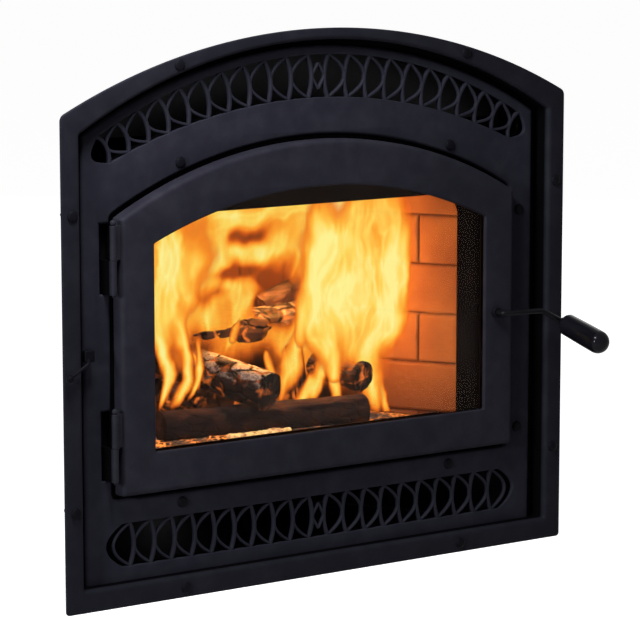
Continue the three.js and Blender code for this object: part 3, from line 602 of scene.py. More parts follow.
def softNoise(x, y, seed, octaves=4, rough=0.5):
    # smooth lattice noise from about -1 to 1, summed over octaves
    total, size, weight = np.zeros(np.broadcast(x, y).shape), 1.0, 0.0
    for octave in range(octaves):
        cellX, cellY = np.floor(x * 2 ** octave), np.floor(y * 2 ** octave)
        shareX, shareY = x * 2 ** octave - cellX, y * 2 ** octave - cellY
        shareX, shareY = shareX ** 2 * (3 - 2 * shareX), shareY ** 2 * (3 - 2 * shareY)

        def corner(i, j):
            wave = np.sin(i * 127.1 + j * 311.7 + (seed + octave) * 74.7) * 43758.5453
            return (wave - np.floor(wave)) * 2 - 1

        low = corner(cellX, cellY) * (1 - shareX) + corner(cellX + 1, cellY) * shareX
        high = corner(cellX, cellY + 1) * (1 - shareX) + corner(cellX + 1, cellY + 1) * shareX
        total = total + size * (low * (1 - shareY) + high * shareY)
        weight, size = weight + size, size * rough
    return total / weight


def softStep(value, low, high):
    # a cubic step: 0 up to low, 1 from high on, and level at both
    share = np.clip((value - low) / (high - low), 0, 1)
    return share ** 2 * (3 - 2 * share)


def relieved(face, rear, mark=None):
    # closes a grid of points (rows, columns, 3) with straight sides and a flat back given by rear(points)
    # mark is a value for each point of the grid, and comes back as the first coordinate of a map
    rows, columns = face.shape[:2]
    index = np.arange(rows * columns).reshape(rows, columns)
    rim = np.concatenate([index[0, :-1], index[:-1, -1], index[-1, :0:-1], index[:0:-1, 0]])
    count, start = len(rim), rows * columns
    sides = [[rim[i], rim[(i + 1) % count], start + (i + 1) % count, start + i] for i in range(count)]
    points = np.concatenate([face.reshape(-1, 3), rear(face.reshape(-1, 3)[rim])])
    front = gridFaces(rows, columns)
    faces = front + [[int(v) for v in s] for s in sides] + [list(range(start, start + count))]
    if mark is None:
        return points, faces
    first = np.concatenate([mark.ravel()[np.array(front).ravel()], np.zeros(5 * count)])
    return points, faces, np.stack([first, first * 0], -1)


# The face. An outline has its half width, foot, apex and radius of the arch, and its two corner radii.
face, rail, panel, door, window = [
    dict(zip(("half", "foot", "apex", "radius", "head", "toe"), sizes)) for sizes in (
        (457, 0, 829.4, 993, 12, 6), (426, 33, 812, 809, 6, 3), (411, 33.3, 802, 800, 6, 0.5),
        (359, 162, 663, 719, 5, 4), (303, 223, 594, 732, 4, 3))]
sheets = {"surround": 4, "surroundEdge": 2.2, "surroundBend": 6.5, "panel": 3, "panelBend": 6,
          "openingEdge": 1.3, "slotDepth": 38, "panelFront": 22, "doorwayClearance": 7, "doorwayBend": 4.5}
hinges = {"x": -373, "y": 1, "radius": 5, "bore": 2.75, "rim": 0.5, "length": 100, "heights": (509, 236),
          "notchEdge": -382, "notchClearance": 1}


def grown(shape, by):
    # the same outline moved outwards
    moved = {key: size + (-by if key == "foot" else by) for key, size in shape.items()}
    return {**moved, "head": max(moved["head"], 0), "toe": max(moved["toe"], 0)}


doorway = grown(door, sheets["doorwayClearance"])


def doorwayLine(by):
    # the doorway's outline with a square notch in its left side for each hinge
    line = archLine(doorway, by)
    half = hinges["length"] / 2 + hinges["notchClearance"] + by
    edge, notch = -doorway["half"] - by, hinges["notchEdge"] - by
    cut = [[x, z + lift] for z in hinges["heights"]
           for x, lift in ((edge, half), (notch, half), (notch, -half), (edge, -half))]
    return np.insert(line, len(line) - 7, cut, axis=0)


grille = {"foot": 54.5, "head": 118.5, "postBulge": 7, "postWidth": 5.3, "postOver": 0.05, "arcWidth": 3.9,
          "arcOver": 0.03, "arcBack": 0.35, "diamondHalf": 0.3, "diamondBack": 0.2, "lap": 6,
          "plateFront": 25.3, "plateRear": 29.3, "barFront": 22.9, "fan": 820}
upperBand = {"apex": 789, "radius": 760}
lowerBand = {"apex": 725, "radius": 880}


def straightBand(across, up):
    # positions across, and up the band as a share between its two level edges
    across, up = np.broadcast_arrays(across, up)
    return np.stack([across, grille["foot"] + (grille["head"] - grille["foot"]) * up], -1)


def archedBand(across, up):
    # positions on rays from one centre, up the band from its lower circle to its upper one
    across, up = np.broadcast_arrays(across, up)
    centre = (upperBand["apex"] + lowerBand["apex"]) / 2 - grille["fan"]
    lean = across / grille["fan"]

    def reach(circle):
        offset = circle["apex"] - circle["radius"] - centre
        return offset * np.cos(lean) + np.sqrt(circle["radius"] ** 2 - (offset * np.sin(lean)) ** 2)

    length = reach(lowerBand) + (reach(upperBand) - reach(lowerBand)) * up
    return np.stack([length * np.sin(lean), centre + length * np.cos(lean)], -1)


# posts at an even pitch to both sides of the middle, arcs between them, and where the opening's edges end
topBand = {"at": archedBand, "pitch": 37, "posts": 11, "arcs": 10, "half": 388.5, "endBow": 23}
footBand = {"at": straightBand, "pitch": 35.3, "posts": 10, "arcs": 10, "half": 349, "endBow": 28.3}


def swell(up):
    # a parabola: 0 at both ends and 1 half way
    return 1 - (2 * up - 1) ** 2


def openingLine(band, by, steps=60, lens=10):
    # the grille's opening: two long edges, and ends shaped as an arc
    half, height, at = band["half"] + by, grille["head"] - grille["foot"], band["at"]
    reach = band["endBow"]
    across = np.linspace(-half, half, steps + 1)
    share = np.arange(1, lens) / lens
    up = share * (1 + 2 * by / height) - by / height
    return np.concatenate([
        at(across, -by / height), at(half + reach * swell(share), up),
        at(-across, 1 + by / height), at(-half - reach * swell(share[::-1]), up[::-1])])


def latticeBars(band):
    # posts that bow towards the middle, deep arcs that bow away to touch the next post, and a middle diamond
    bars, share, at = [], np.linspace(0, 1, 15), band["at"]
    front, rear, bulge = grille["barFront"], grille["plateRear"], grille["postBulge"]
    postUp = share * (1 + 2 * grille["postOver"]) - grille["postOver"]
    arcUp = share * (1 + 2 * grille["arcOver"]) - grille["arcOver"]
    for hand in (-1, 1):
        for cell in range(band["posts"]):
            start = band["pitch"] * (cell + 0.5)
            post = at(hand * (start - bulge * swell(postUp)), postUp)
            bars.append(bar(post, grille["postWidth"], front, rear))
            if cell < band["arcs"]:
                bow = at(hand * (start + (band["pitch"] - bulge) * swell(arcUp)), arcUp)
                bars.append(bar(bow, grille["arcWidth"], front + grille["arcBack"], rear))
        for end in (-1, 1):
            half = band["pitch"] / 2 - bulge + 1
            path = at(hand * half * (1 - share), 0.5 + end * grille["diamondHalf"] * share)
            bars.append(bar(path, grille["arcWidth"], front + grille["diamondBack"], rear))
    return bars


makePiece("surround", sheet([
    (lambda by: archLine(face, by), 1, roundEdge(sheets["surround"], sheets["surroundEdge"])),
    (lambda by: archLine(rail, by), -1,
     turnedEdge(sheets["surround"], sheets["surroundBend"], sheets["slotDepth"])),
], 0), "fireplace", "surround", ["surround_frame"])

wallDepth = sheets["slotDepth"] - sheets["panelFront"]
makePiece("centre_panel", sheet([
    (lambda by: archLine({**panel, "foot": panel["foot"] + by}, by), 1,
     turnedEdge(sheets["panel"], sheets["panelBend"], wallDepth)),
    (doorwayLine, -1, turnedEdge(sheets["panel"], sheets["doorwayBend"], wallDepth)),
    (lambda by: openingLine(topBand, by), -1, roundEdge(sheets["panel"], sheets["openingEdge"])),
    (lambda by: openingLine(footBand, by), -1, roundEdge(sheets["panel"], sheets["openingEdge"])),
], sheets["panelFront"]), "fireplace", "panel", ["face_panel"])

for name, band in (("top_grille", topBand), ("bottom_grille", footBand)):
    thick = grille["plateRear"] - grille["plateFront"]
    plate = sheet([(lambda by: openingLine(band, grille["lap"] + by), 1, roundEdge(thick, 0.5)),
                   (lambda by: openingLine(band, by), -1, roundEdge(thick, 0.5))], grille["plateFront"])
    makePiece(name + "_lattice", plate + latticeBars(band), "fireplace", "panel", [name])
print("face made")

# Bolts: the seats are the faces that their heads stand on.
bolts = {"radius": 8.5, "height": 4.2, "shank": 3, "surroundSeat": -0.3, "panelSeat": 21.7, "sides": 36}


def boltParts(x, seat, z, length):
    # domed head with a slightly flattened crown and a small foot, on a round shank
    height, radius, shank = bolts["height"], bolts["radius"], bolts["shank"]
    angle = np.linspace(0, pi / 2, 12)
    bulge = np.stack([height * (0.16 + 0.84 * np.cos(angle) ** 0.85),
                      radius * 0.97 * np.sin(angle) ** 0.9], -1)
    foot = [[height * 0.08, radius], [0, radius * 0.985], [0, shank], [-length, shank], [-length, 0]]
    return [lathe(np.concatenate([bulge, foot]), (x, seat, z), (0, -1, 0), bolts["sides"])]


for name in nodes:
    if "_bolt_" in name:
        low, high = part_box(name)
        middle = (low + high) / 2 / drawing["millimetre"]
        seat = bolts["surroundSeat"] if name.startswith("surround") else bolts["panelSeat"]
        length = (high.y - low.y) / drawing["millimetre"] - bolts["height"]
        makePiece(name + "_head", boltParts(middle.x, seat, middle.z, length), "fireplace", "bolt",
                  [name], 50)
print("bolts made")

# The door: a folded leaf with a rib behind it.
doorSizes = {"front": 2, "plate": 6, "depth": 24, "bend": 7.5, "windowEdge": 2.6, "ropeInset": 8,
             "ropeWidth": 11, "ribThick": 4, "ribDepth": 12, "ribLap": 0.2, "ribEdge": 0.3}
ribOuter = grown(door, -doorSizes["ropeInset"] - doorSizes["ropeWidth"] - 1)
ribInner = grown(ribOuter, -doorSizes["ribThick"])
ribSide = roundEdge(doorSizes["ribDepth"] + doorSizes["ribLap"], doorSizes["ribEdge"])
plateRear = doorSizes["front"] + doorSizes["plate"]

makePiece("door_leaf", sheet([
    (lambda by: archLine(door, by), 1, turnedEdge(doorSizes["plate"], doorSizes["bend"], doorSizes["depth"])),
    (lambda by: archLine(window, by), -1, roundEdge(doorSizes["plate"], doorSizes["windowEdge"])),
], doorSizes["front"]) + sheet([
    (lambda by: archLine(ribOuter, by), 1, ribSide),
    (lambda by: archLine(ribInner, by), -1, ribSide),
], plateRear - doorSizes["ribLap"]), "door", "door", ["door_frame"])

rope = {"rows": 480, "sides": 16, "halfDepth": 10.5, "gap": 0.4, "ripple": 0.035, "turns": 240}


def ropeParts():
    # a rope along the door's channel, at even steps: its section is a flattened round with a slight ripple
    rows, sides, deep, wide = rope["rows"], rope["sides"], rope["halfDepth"], doorSizes["ropeWidth"] / 2
    ropeLine = archLine(grown(door, -doorSizes["ropeInset"] - wide), 0, 220, 10)
    step = np.linalg.norm(np.roll(ropeLine, -1, 0) - ropeLine, axis=1)
    even = np.linspace(0, step.sum(), rows + 1)[:-1]
    reach = np.concatenate([[0], np.cumsum(step)])
    closed = np.concatenate([ropeLine, ropeLine[:1]])
    path = np.stack([np.interp(even, reach, closed[:, i]) for i in range(2)], -1)
    run = unit(np.roll(path, -1, 0) - np.roll(path, 1, 0))
    side = np.stack([run[:, 1], -run[:, 0]], -1)
    around = np.arange(sides) * 2 * pi / sides
    ripple = 1 + rope["ripple"] * np.sin(np.arange(rows)[:, None] * 0.9 + around * 3)
    flat = path[:, None] + side[:, None] * (wide * np.cos(around) * ripple)[..., None]
    depth = plateRear + rope["gap"] + deep + deep * np.sin(around) * np.ones((rows, 1))
    points = np.stack([flat[..., 0], depth, flat[..., 1]], -1)
    points = np.concatenate([points, points[:1]])
    return [(points, gridFaces(rows + 1, sides, closeColumns=True))], gridMap(rows + 1, sides, rope["turns"])


ropeMesh, ropeMap = ropeParts()
makePiece("door_rope", ropeMesh, "door", "rope", ["door_rope_gasket"], 60, uv=ropeMap)


def panScrew(x, y, z, facing, radius=3.2, height=2.0):
    # a small pan-head screw: a domed head on a short foot
    angle = np.linspace(0, pi / 2, 7)
    head = np.stack([height * np.cos(angle) ** 0.7, radius * np.sin(angle)], -1)
    return lathe(np.concatenate([head, [[-0.6, radius * 0.6], [-0.6, 0]]]), (x, y, z), facing, 18)


retainer = {"screws": 10, "ring": 4.5}
retainerLine = archLine(grown(window, retainer["ring"]), 0, 40, 2)
spread = np.linspace(0, len(retainerLine), retainer["screws"], endpoint=False).astype(int)
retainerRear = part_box("glass_retainer")[1].y / drawing["millimetre"] + drawing["flueDepth"]
makePiece("retainer_screws", [panScrew(x, retainerRear, z, (0, 1, 0)) for x, z in retainerLine[spread]],
          "door", "steel", crease=60)
print("door made")

# Hinges: a bracket that stands in the notch, a knuckle on the door, and a pin with a ball end. Leaf and strap
# are ranges measured from the pin, and a rounding is a corner's radius and an edge's.
hingeParts = {"leaf": (-4.5, -0.5), "leafRounding": (0.8, 0.6), "footInset": 0.8, "footThick": 3,
              "footRounding": (2, 0.6), "strapStart": 2, "strap": (2, 4.7), "strapRounding": (0.8, 0.8),
              "ballSmaller": 0.6, "ballNeck": 0.78, "ballSink": 0.4, "pinSlack": 0.25, "pinBelow": 3,
              "pinPoint": (0.6, 0.7)}
for place, middle in zip(("upper", "lower"), hinges["heights"]):
    x, y, radius, half = hinges["x"], hinges["y"], hinges["radius"], hinges["length"] / 2
    gap, bore, rim, slotDepth = drawing["gap"], hinges["bore"], hinges["rim"], sheets["slotDepth"]
    leafX, strapY = np.add(hingeParts["leaf"], x), np.add(hingeParts["strap"], y)

    def barrel(low, high):
        # a tube with its rims eased
        return lathe([[low, bore], [low, radius - rim], [low + rim, radius], [high - rim, radius],
                      [high, radius - rim], [high, bore]], (x, y, 0), (0, 0, 1), 32, hollow=True)

    leaf = turned(slab((y, middle - half), (slotDepth, middle - gap), *leafX, *hingeParts["leafRounding"]),
                  [1, 0, 2])
    foot = slab((hinges["notchEdge"] + hingeParts["footInset"], middle - half), (leafX[1], middle + half),
                slotDepth - hingeParts["footThick"], slotDepth, *hingeParts["footRounding"])
    makePiece("hinge_bracket_" + place + "_barrel", [barrel(middle - half, middle - gap)] + leaf + foot,
              "fireplace", "hinge", ["hinge_bracket_" + place])
    strap = slab((x + hingeParts["strapStart"], middle + gap), (-door["half"] - gap, middle + half),
                 *strapY, *hingeParts["strapRounding"])
    makePiece("hinge_knuckle_" + place + "_barrel", [barrel(middle + gap, middle + half)] + strap,
              "door", "hinge", ["hinge_knuckle_" + place])
    ballRadius, pinRadius = radius - hingeParts["ballSmaller"], bore - hingeParts["pinSlack"]
    seat, foot = middle + half + gap, middle - half - hingeParts["pinBelow"]
    turn = np.linspace(pi * hingeParts["ballNeck"], 0, 14)
    ball = np.stack([seat + ballRadius * (1 + np.cos(turn)) - hingeParts["ballSink"],
                     ballRadius * np.sin(turn)], -1)
    pointLength, pointStep = hingeParts["pinPoint"]
    pin = [[foot, 0], [foot, pinRadius - pointStep], [foot + pointLength, pinRadius], [seat, pinRadius]]
    makePiece("hinge_pin_" + place + "_ball", [lathe(np.concatenate([pin, ball]), (x, y, 0), (0, 0, 1), 28)],
              "fireplace", "hinge", ["hinge_pin_" + place], 50)
print("hinges made")

# The latch handle. Profiles are pairs of the distance along an axis and the radius there.
handle = {"x": 322, "z": 376, "armY": -20, "arm": 4.3, "bend": (397, -24, 375), "ease": 8, "shaftRear": 39.7,
          "gripStart": (430, -32, 356), "gripEnd": (438, -130, 328), "gripShare": 0.06, "gripHeel": 17.0,
          "gripFlare": 1.3, "flareTo": 0.8, "noseFrom": 0.81, "heelTo": 0.06,
          "bush": [[6, 7], [6, 5], [-9.5, 5], [-9.5, 6.6], [-0.8, 6.8], [-0.8, 8], [4.8, 8], [5.6, 7.6]],
          "collar": [[0, 4.2], [0, 6.4], [0.6, 7], [2.2, 7.3], [4, 7.4], [7, 8], [7.5, 7.6], [7.5, 4.2]]}
gripStart, gripEnd = np.array(handle["gripStart"], float), np.array(handle["gripEnd"], float)
gripRun = gripEnd - gripStart
gripLength = np.linalg.norm(gripRun)
x, z = handle["x"], handle["z"]
shaftPath = softPath([(x, handle["shaftRear"], z), (x, handle["armY"], z), handle["bend"],
                      gripStart + gripRun * 0.02], handle["ease"], 9)
makePiece("handle_rod", [tube(shaftPath, handle["arm"], 22)],
          "handle", "rod", ["latch_spindle"], 50)
makePiece("spindle_bush", [lathe(handle["bush"], (x, 0, z), (0, -1, 0), 32, hollow=True)],
          "door", "bolt", ["spindle_bushing"], 40)
makePiece("handle_collar_ring", [lathe(handle["collar"], gripStart, gripRun, 32, hollow=True)],
          "handle", "bolt", ["handle_collar"], 40)
along = np.linspace(0, 1, 40)
flare = np.sin(np.clip(along / handle["flareTo"], 0, 1) * pi / 2) ** 1.1 * handle["gripFlare"]
noseShare = np.clip((along - handle["noseFrom"]) / (1 - handle["noseFrom"]), 0, 1)
nose = np.sqrt(np.clip(1 - noseShare ** 2, 0, 1))
heel = np.clip(along / handle["heelTo"], 0, 1) ** 0.4
gripProfile = np.stack([along * gripLength * (1 - handle["gripShare"]),
                        (handle["gripHeel"] + flare) * nose * heel], -1)
makePiece("handle_grip_body", [lathe(gripProfile, gripStart + gripRun * handle["gripShare"], gripRun, 48)],
          "handle", "grip", ["handle_grip"], 60)
print("handle made")

# The air lever: thumb plate, stem and foot as (low corner, high corner, front, rear, corner, edge) about its
# middle, then a rod that comes out of the slot, with a knob.
lever = {"x": -416, "z": 374, "rod": 2.5, "rodPath": ((2, 6, -4), (-4, -8, -8)), "tip": (-452, -8, 347),
         "knob": 5.5,
         "plates": [((-4, -9), (13, 9), 3, 17, 2.5, 2.2), ((-2.5, -4), (2.5, 4), 10, 45.5, 1, 0.4),
                    ((-2.5, -12), (3.7, 12), 43.5, 45.5, 1, 0.4)]}
leverAt = (lever["x"], lever["z"])
leverPlates = [part for low, high, *depths in lever["plates"]
               for part in slab(np.add(low, leverAt), np.add(high, leverAt), *depths)]
rodPath = [np.add(point, (lever["x"], 0, lever["z"])) for point in lever["rodPath"]] + [lever["tip"]]
turn = np.linspace(0, pi, 15)
knob = lathe(lever["knob"] * np.stack([-np.cos(turn), np.sin(turn)], -1), lever["tip"], (1, 0, 0.5), 22)
makePiece("air_lever_arm", leverPlates + [tube(softPath(rodPath, 5), lever["rod"], 14), knob],
          "air_control", "bolt", ["air_lever"])
print("lever made")

# The firebox. Bricks are laid on a splayed plan; first is the foot of the first course above the hearth.
firebox = {"innerHalf": 357, "shoulder": 60, "shellSlack": 0.831, "splay": 0.6, "rear": 412, "floor": 155.3,
           "brickThick": 50, "brickFront": 60.3, "brickRear": 375, "brickTop": 555, "hearthTop": 200}
bricks = {"pitch": 79, "length": 158, "first": 7, "jointAt": 71, "grooveWidth": 6.5, "grooveDepth": 4.5,
          "step": 2.6, "uneven": 1.1, "back": 0.4, "wander": 0.8, "wanderRun": 40, "ragged": 0.7,
          "raggedRun": 7, "rough": 0.55, "roughRun": 9, "rearOverlap": 50, "rearBehind": 0.4, "backCut": 6}


def clearHalf(y):
    # half the clear width between the steel sides at a depth
    behind = max(0.0, y - firebox["shoulder"] + firebox["shellSlack"] / firebox["splay"])
    return firebox["innerHalf"] - 1 - firebox["splay"] * behind


acrossBrick = firebox["brickThick"] * np.sqrt(1 + firebox["splay"] ** 2)


def brickFace(length, height, seed, start):
    # how far a wall of bricks lies behind its face: rounded grooves, uneven bricks, chips and roughness
    s, t = np.meshgrid(np.linspace(0, length, int(length / bricks["step"])),
                       np.linspace(0, height, int(height / bricks["step"])), indexing="ij")
    wanderRun, raggedRun, roughRun = [bricks[key] for key in ("wanderRun", "raggedRun", "roughRun")]
    wander = bricks["wander"] * softNoise(s / wanderRun, t / wanderRun, seed + 9)
    up = t - bricks["first"] + wander
    course = np.floor(up / bricks["pitch"])
    run = s - start - bricks["jointAt"] - np.where(course % 2 == 0, 0, bricks["length"] / 2) + wander
    own = np.floor(run / bricks["length"])
    u, v = run - own * bricks["length"], up - course * bricks["pitch"]
    edge = np.minimum(np.minimum(u, bricks["length"] - u), np.minimum(v, bricks["pitch"] - v))
    edge = edge + bricks["ragged"] * softNoise(s / raggedRun, t / raggedRun, seed + 3)
    raised = softStep(edge, 0, bricks["grooveWidth"] / 2)
    tilt = np.sin(own * 12.9 + course * 78.2 + seed) * bricks["uneven"]
    rough = bricks["rough"] * softNoise(s / roughRun, t / roughRun, seed, 4, 0.6)
    lean = np.clip(tilt * 0.5 + 0.5, 0, 2) * raised
    return s, t, (1 - raised) * bricks["grooveDepth"] + lean + rough + bricks["back"], 1 - raised


def wallParts(start, end, seed, rearPush, joint):
    # a brick wall from start to end in plan, seen from its left-hand side as one walks along it
    start, end = np.array(start, float), np.array(end, float)
    run, length = unit(end - start), np.linalg.norm(end - start)
    inward = np.array([run[1], -run[0]])
    s, t, behind, groove = brickFace(length, firebox["brickTop"] - firebox["hearthTop"], seed, joint)
    plan = start + s[..., None] * run - behind[..., None] * inward
    points = np.stack([plan[..., 0], plan[..., 1], firebox["hearthTop"] + t], -1)
    return relieved(points, lambda rim: rim - np.append(inward, 0) * rearPush, groove)


frontInner = clearHalf(firebox["brickFront"]) - acrossBrick
rearInner = clearHalf(firebox["brickRear"]) - acrossBrick
wallPush = firebox["brickThick"] - bricks["backCut"]
rightJoint = (np.hypot(frontInner - rearInner, firebox["brickRear"] - firebox["brickFront"])
              - 2 * bricks["jointAt"] - bricks["length"] / 2)
frontLine, rearLine = firebox["brickFront"], firebox["brickRear"]
rearHalf, behindLine = rearInner + bricks["rearOverlap"], rearLine + bricks["rearBehind"]
# A wall is its start and end in plan, a seed, how far back its flat side lies, and where its joints start.
walls = {
    "right": ((rearInner, rearLine), (frontInner, frontLine), 5, wallPush, rightJoint),
    "left": ((-frontInner, frontLine), (-rearInner, rearLine), 11, wallPush, 0.0),
    "rear": ((-rearHalf, behindLine), (rearHalf, behindLine), 17, 30, 20),
}
for place, (start, end, seed, push, joint) in walls.items():
    points, faces, jointMap = wallParts(start, end, seed, push, joint)
    makePiece(place + "_bricks", [(points, faces)], "fireplace", "brick",
              ["brick_panel_" + place], 70, uv=jointMap)


hearth = {"width": 114, "length": 229, "shiftX": 57, "shiftY": 30, "grooveHalf": 2.5, "grooveDepth": 2.0,
          "rough": 0.35, "back": 0.4}


def splayed(depths, rows, columns, margin=0.0):
    # a grid between the splayed sides: share of the half width, place across, and depth
    share, depth = np.meshgrid(np.linspace(-1, 1, rows), np.linspace(*depths, columns), indexing="ij")
    return share, share * np.array([clearHalf(y) - margin for y in depth[0]]), depth


def upTo(x, depth, height, foot):
    # a body from a level foot up to the heights over a grid
    top = np.stack([x, depth, height], -1)
    return [relieved(top, lambda rim: np.stack([rim[:, 0], rim[:, 1], np.full(len(rim), foot)], -1))]


def floorParts():
    # the hearth: a splayed floor of slabs with shallow joints
    share, x, depth = splayed((firebox["brickFront"], firebox["rear"]), 150, 110)
    joint = np.minimum(np.abs((x + hearth["shiftX"]) % hearth["width"] - hearth["width"] / 2),
                       np.abs((depth + hearth["shiftY"]) % hearth["length"] - hearth["length"] / 2))
    groove = (1 - np.clip(joint / hearth["grooveHalf"], 0, 1)) * hearth["grooveDepth"]
    dip = groove + hearth["rough"] * softNoise(x / 12, depth / 12, 2) + hearth["back"]
    return upTo(x, depth, firebox["hearthTop"] - drawing["gap"] - dip, firebox["floor"])


makePiece("hearth_floor", floorParts(), "fireplace", "brick", ["hearth_slab"], 70)

mouth = {"half": 290, "head": 561, "corner": 35, "front": 56, "rear": 60, "outer": 355, "top": 644.7,
         "outerEdge": 0.8, "innerEdge": 1.4}
lip = {"inset": 22, "height": 14, "depth": (64, 69), "ledge": (65, 84), "ledgeThick": 4}


def mouthLine(by):
    # straight head and sides with two large rounded corners, open at the foot
    radius = mouth["corner"] + by
    half, head, foot = mouth["half"] + by, mouth["head"] + by, firebox["hearthTop"] - by
    return np.concatenate([[[half, foot]], arc(half - radius, head - radius, radius, 0, pi / 2, 12),
                           arc(radius - half, head - radius, radius, pi / 2, pi, 12), [[-half, foot]]])


mouthThick = mouth["rear"] - mouth["front"]
makePiece("firebox_mouth", sheet([
    (lambda by: rectLine((-mouth["outer"], firebox["floor"] + 0.4), (mouth["outer"], mouth["top"]), by, 2), 1,
     roundEdge(mouthThick, mouth["outerEdge"])),
    (mouthLine, -1, roundEdge(mouthThick, mouth["innerEdge"])),
], mouth["front"]), "fireplace", "sooty", ["mouth_frame"])

half, foot = mouth["half"] - lip["inset"], firebox["hearthTop"]
upright = slab((-half, foot), (half, foot + lip["height"]), *lip["depth"], 2, 1.2)
ledge = slab((-half, lip["ledge"][0]), (half, lip["ledge"][1]), foot, foot + lip["ledgeThick"], 1, 0.6)
makePiece("hearth_lip", upright + turned(ledge, [0, 2, 1]),
          "fireplace", "sooty", ["ash_lip"])

airTube = {"bore": 10.5, "radius": 13, "holeBore": 2.2, "holeRadius": 3.4, "holePitch": 26,
           "holeAt": (-8.4, -9.6), "facing": (0, -0.66, -0.75)}


def pipe(start, end, bore, radius, *turning):
    # a tube with square ends: a rectangle from bore to radius, turned about its axis
    return lathe([[start, bore], [start, radius], [end, radius], [end, bore]], *turning, hollow=True)


for place in ("front", "middle", "rear"):
    low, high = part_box("air_tube_" + place)
    half = high.x / drawing["millimetre"]
    y = (low.y + high.y) / 2 / drawing["millimetre"] + drawing["flueDepth"]
    z = (low.z + high.z) / 2 / drawing["millimetre"]
    parts = [pipe(-half, half, airTube["bore"], airTube["radius"], (0, y, z), (1, 0, 0), 32)]
    for x in np.arange(-half + 20, half - 10, airTube["holePitch"]):
        at = (x, y + airTube["holeAt"][0], z + airTube["holeAt"][1])
        parts.append(pipe(0, 1, airTube["holeBore"], airTube["holeRadius"], at, airTube["facing"], 12))
    makePiece("air_tube_" + place + "_drilled", parts,
              "fireplace", "steel", ["air_tube_" + place], 50)
print("firebox made")

# A log is the middles of its two ends, the radius at each, the seed of its bark, and its finish.
logs = {
    "front_log": ((-200, 158, 224), (148, 112, 224), (24, 23), 3, "bark"),
    "rear_log": ((-130, 275, 238), (135, 275, 238), (38, 36), 13, "char"),
    "main_log": ((-44, 96, 270), (-114, 290, 309), (29, 29), 8, "ashy"),
    "right_log": ((150, 115, 272), (100, 290, 300), (23, 24), 40, "char"),
    "top_log": ((-150, 240, 349), (105, 232, 350), (26, 33), 21, "char"),
    "crown_split": ((49, 258, 364), (138, 268, 379), (27, 38), 52, "bark"),
    "upright_split": ((82, 180, 202), (70, 195, 322), (14, 13), 34, "char"),
}


def logParts(start, end, radius, seed):
    # a bent, tapering round with bark ridges, blocky charring, and end grain dished by its rings
    start, end = np.array(start, float), np.array(end, float)
    run, length = unit(end - start), np.linalg.norm(end - start)
    first = unit(np.cross([0, 0.2, 1], run))
    second = np.cross(first, run)
    rows, sides = max(24, int(length / 3)), 60
    share, angle = np.meshgrid(np.linspace(0, 1, rows), np.arange(sides) * 2 * pi / sides, indexing="ij")
    wrapX, wrapY = np.cos(angle), np.sin(angle)
    ridge = softNoise(wrapX * 4 + share * 1.2 + 40, wrapY * 4 + share * length / 90, seed, 4, 0.6)
    blocks = softNoise(wrapX * 2.6 + share * length / 22, wrapY * 2.6 + 9, seed + 5, 3)
    taper = radius[0] + (radius[1] - radius[0]) * share
    lumps = softNoise(share * 3 + 7, wrapX + 5, seed + 2, 2)
    size = taper * (1 + 0.10 * ridge + 0.07 * np.abs(blocks) + 0.05 * lumps)
    bow = np.stack([softNoise(share * 2 + 3, share * 0 + seed, seed + k, 2) for k in (31, 47)], -1)
    bow = bow * radius[0] * 0.12
    middle = start + share[..., None] * length * run + bow[..., :1] * first + bow[..., 1:] * second
    skin = middle + size[..., None] * (wrapX[..., None] * first + wrapY[..., None] * second)
    rings = np.array([0.94, 0.8, 0.62, 0.42, 0.22, 0.0])

    def endFace(row, side):
        ripple = side * (1.4 * np.sin(rings * 15) - 3.0 * (1 - rings ** 2))
        return middle[row] + rings[:, None, None] * (skin[row] - middle[row]) - ripple[:, None, None] * -run

    points = np.concatenate([endFace(0, 1)[::-1], skin, endFace(-1, -1)])
    logMap = gridMap(len(points), sides, length * drawing["millimetre"])
    return [(points, gridFaces(len(points), sides, closeColumns=True))], logMap


for name, (*log, finish) in logs.items():
    shape, logMap = logParts(*log)
    makePiece(name, shape, "fireplace", finish, crease=75, uv=logMap)

ashBed = {"depth": (88, 345), "mound": 17, "level": 0.55, "lumps": 0.8, "margin": 6, "run": 250}


def ashParts():
    # a low mound over the hearth, highest under the logs, thinning out towards the walls
    share, x, depth = splayed(ashBed["depth"], 120, 80, acrossBrick + ashBed["margin"])
    rising = np.sin(np.clip((depth - ashBed["depth"][0]) / ashBed["run"], 0, 1) * pi) ** 0.5
    shape = np.clip(1 - share ** 2, 0, 1) ** 0.6 * rising * ashBed["mound"]
    lumps = ashBed["lumps"] * np.abs(softNoise(x / 26, depth / 26, 6, 4, 0.6))
    top = firebox["hearthTop"]
    return upTo(x, depth, top + 0.4 + shape * (ashBed["level"] + lumps), top - 0.2)


makePiece("ash_bed", ashParts(), "fireplace", "ash", crease=80)

coals = {"count": 34, "from": -130, "to": -16, "y": (70, 84), "z": 212, "size": (3.4, 6.2)}


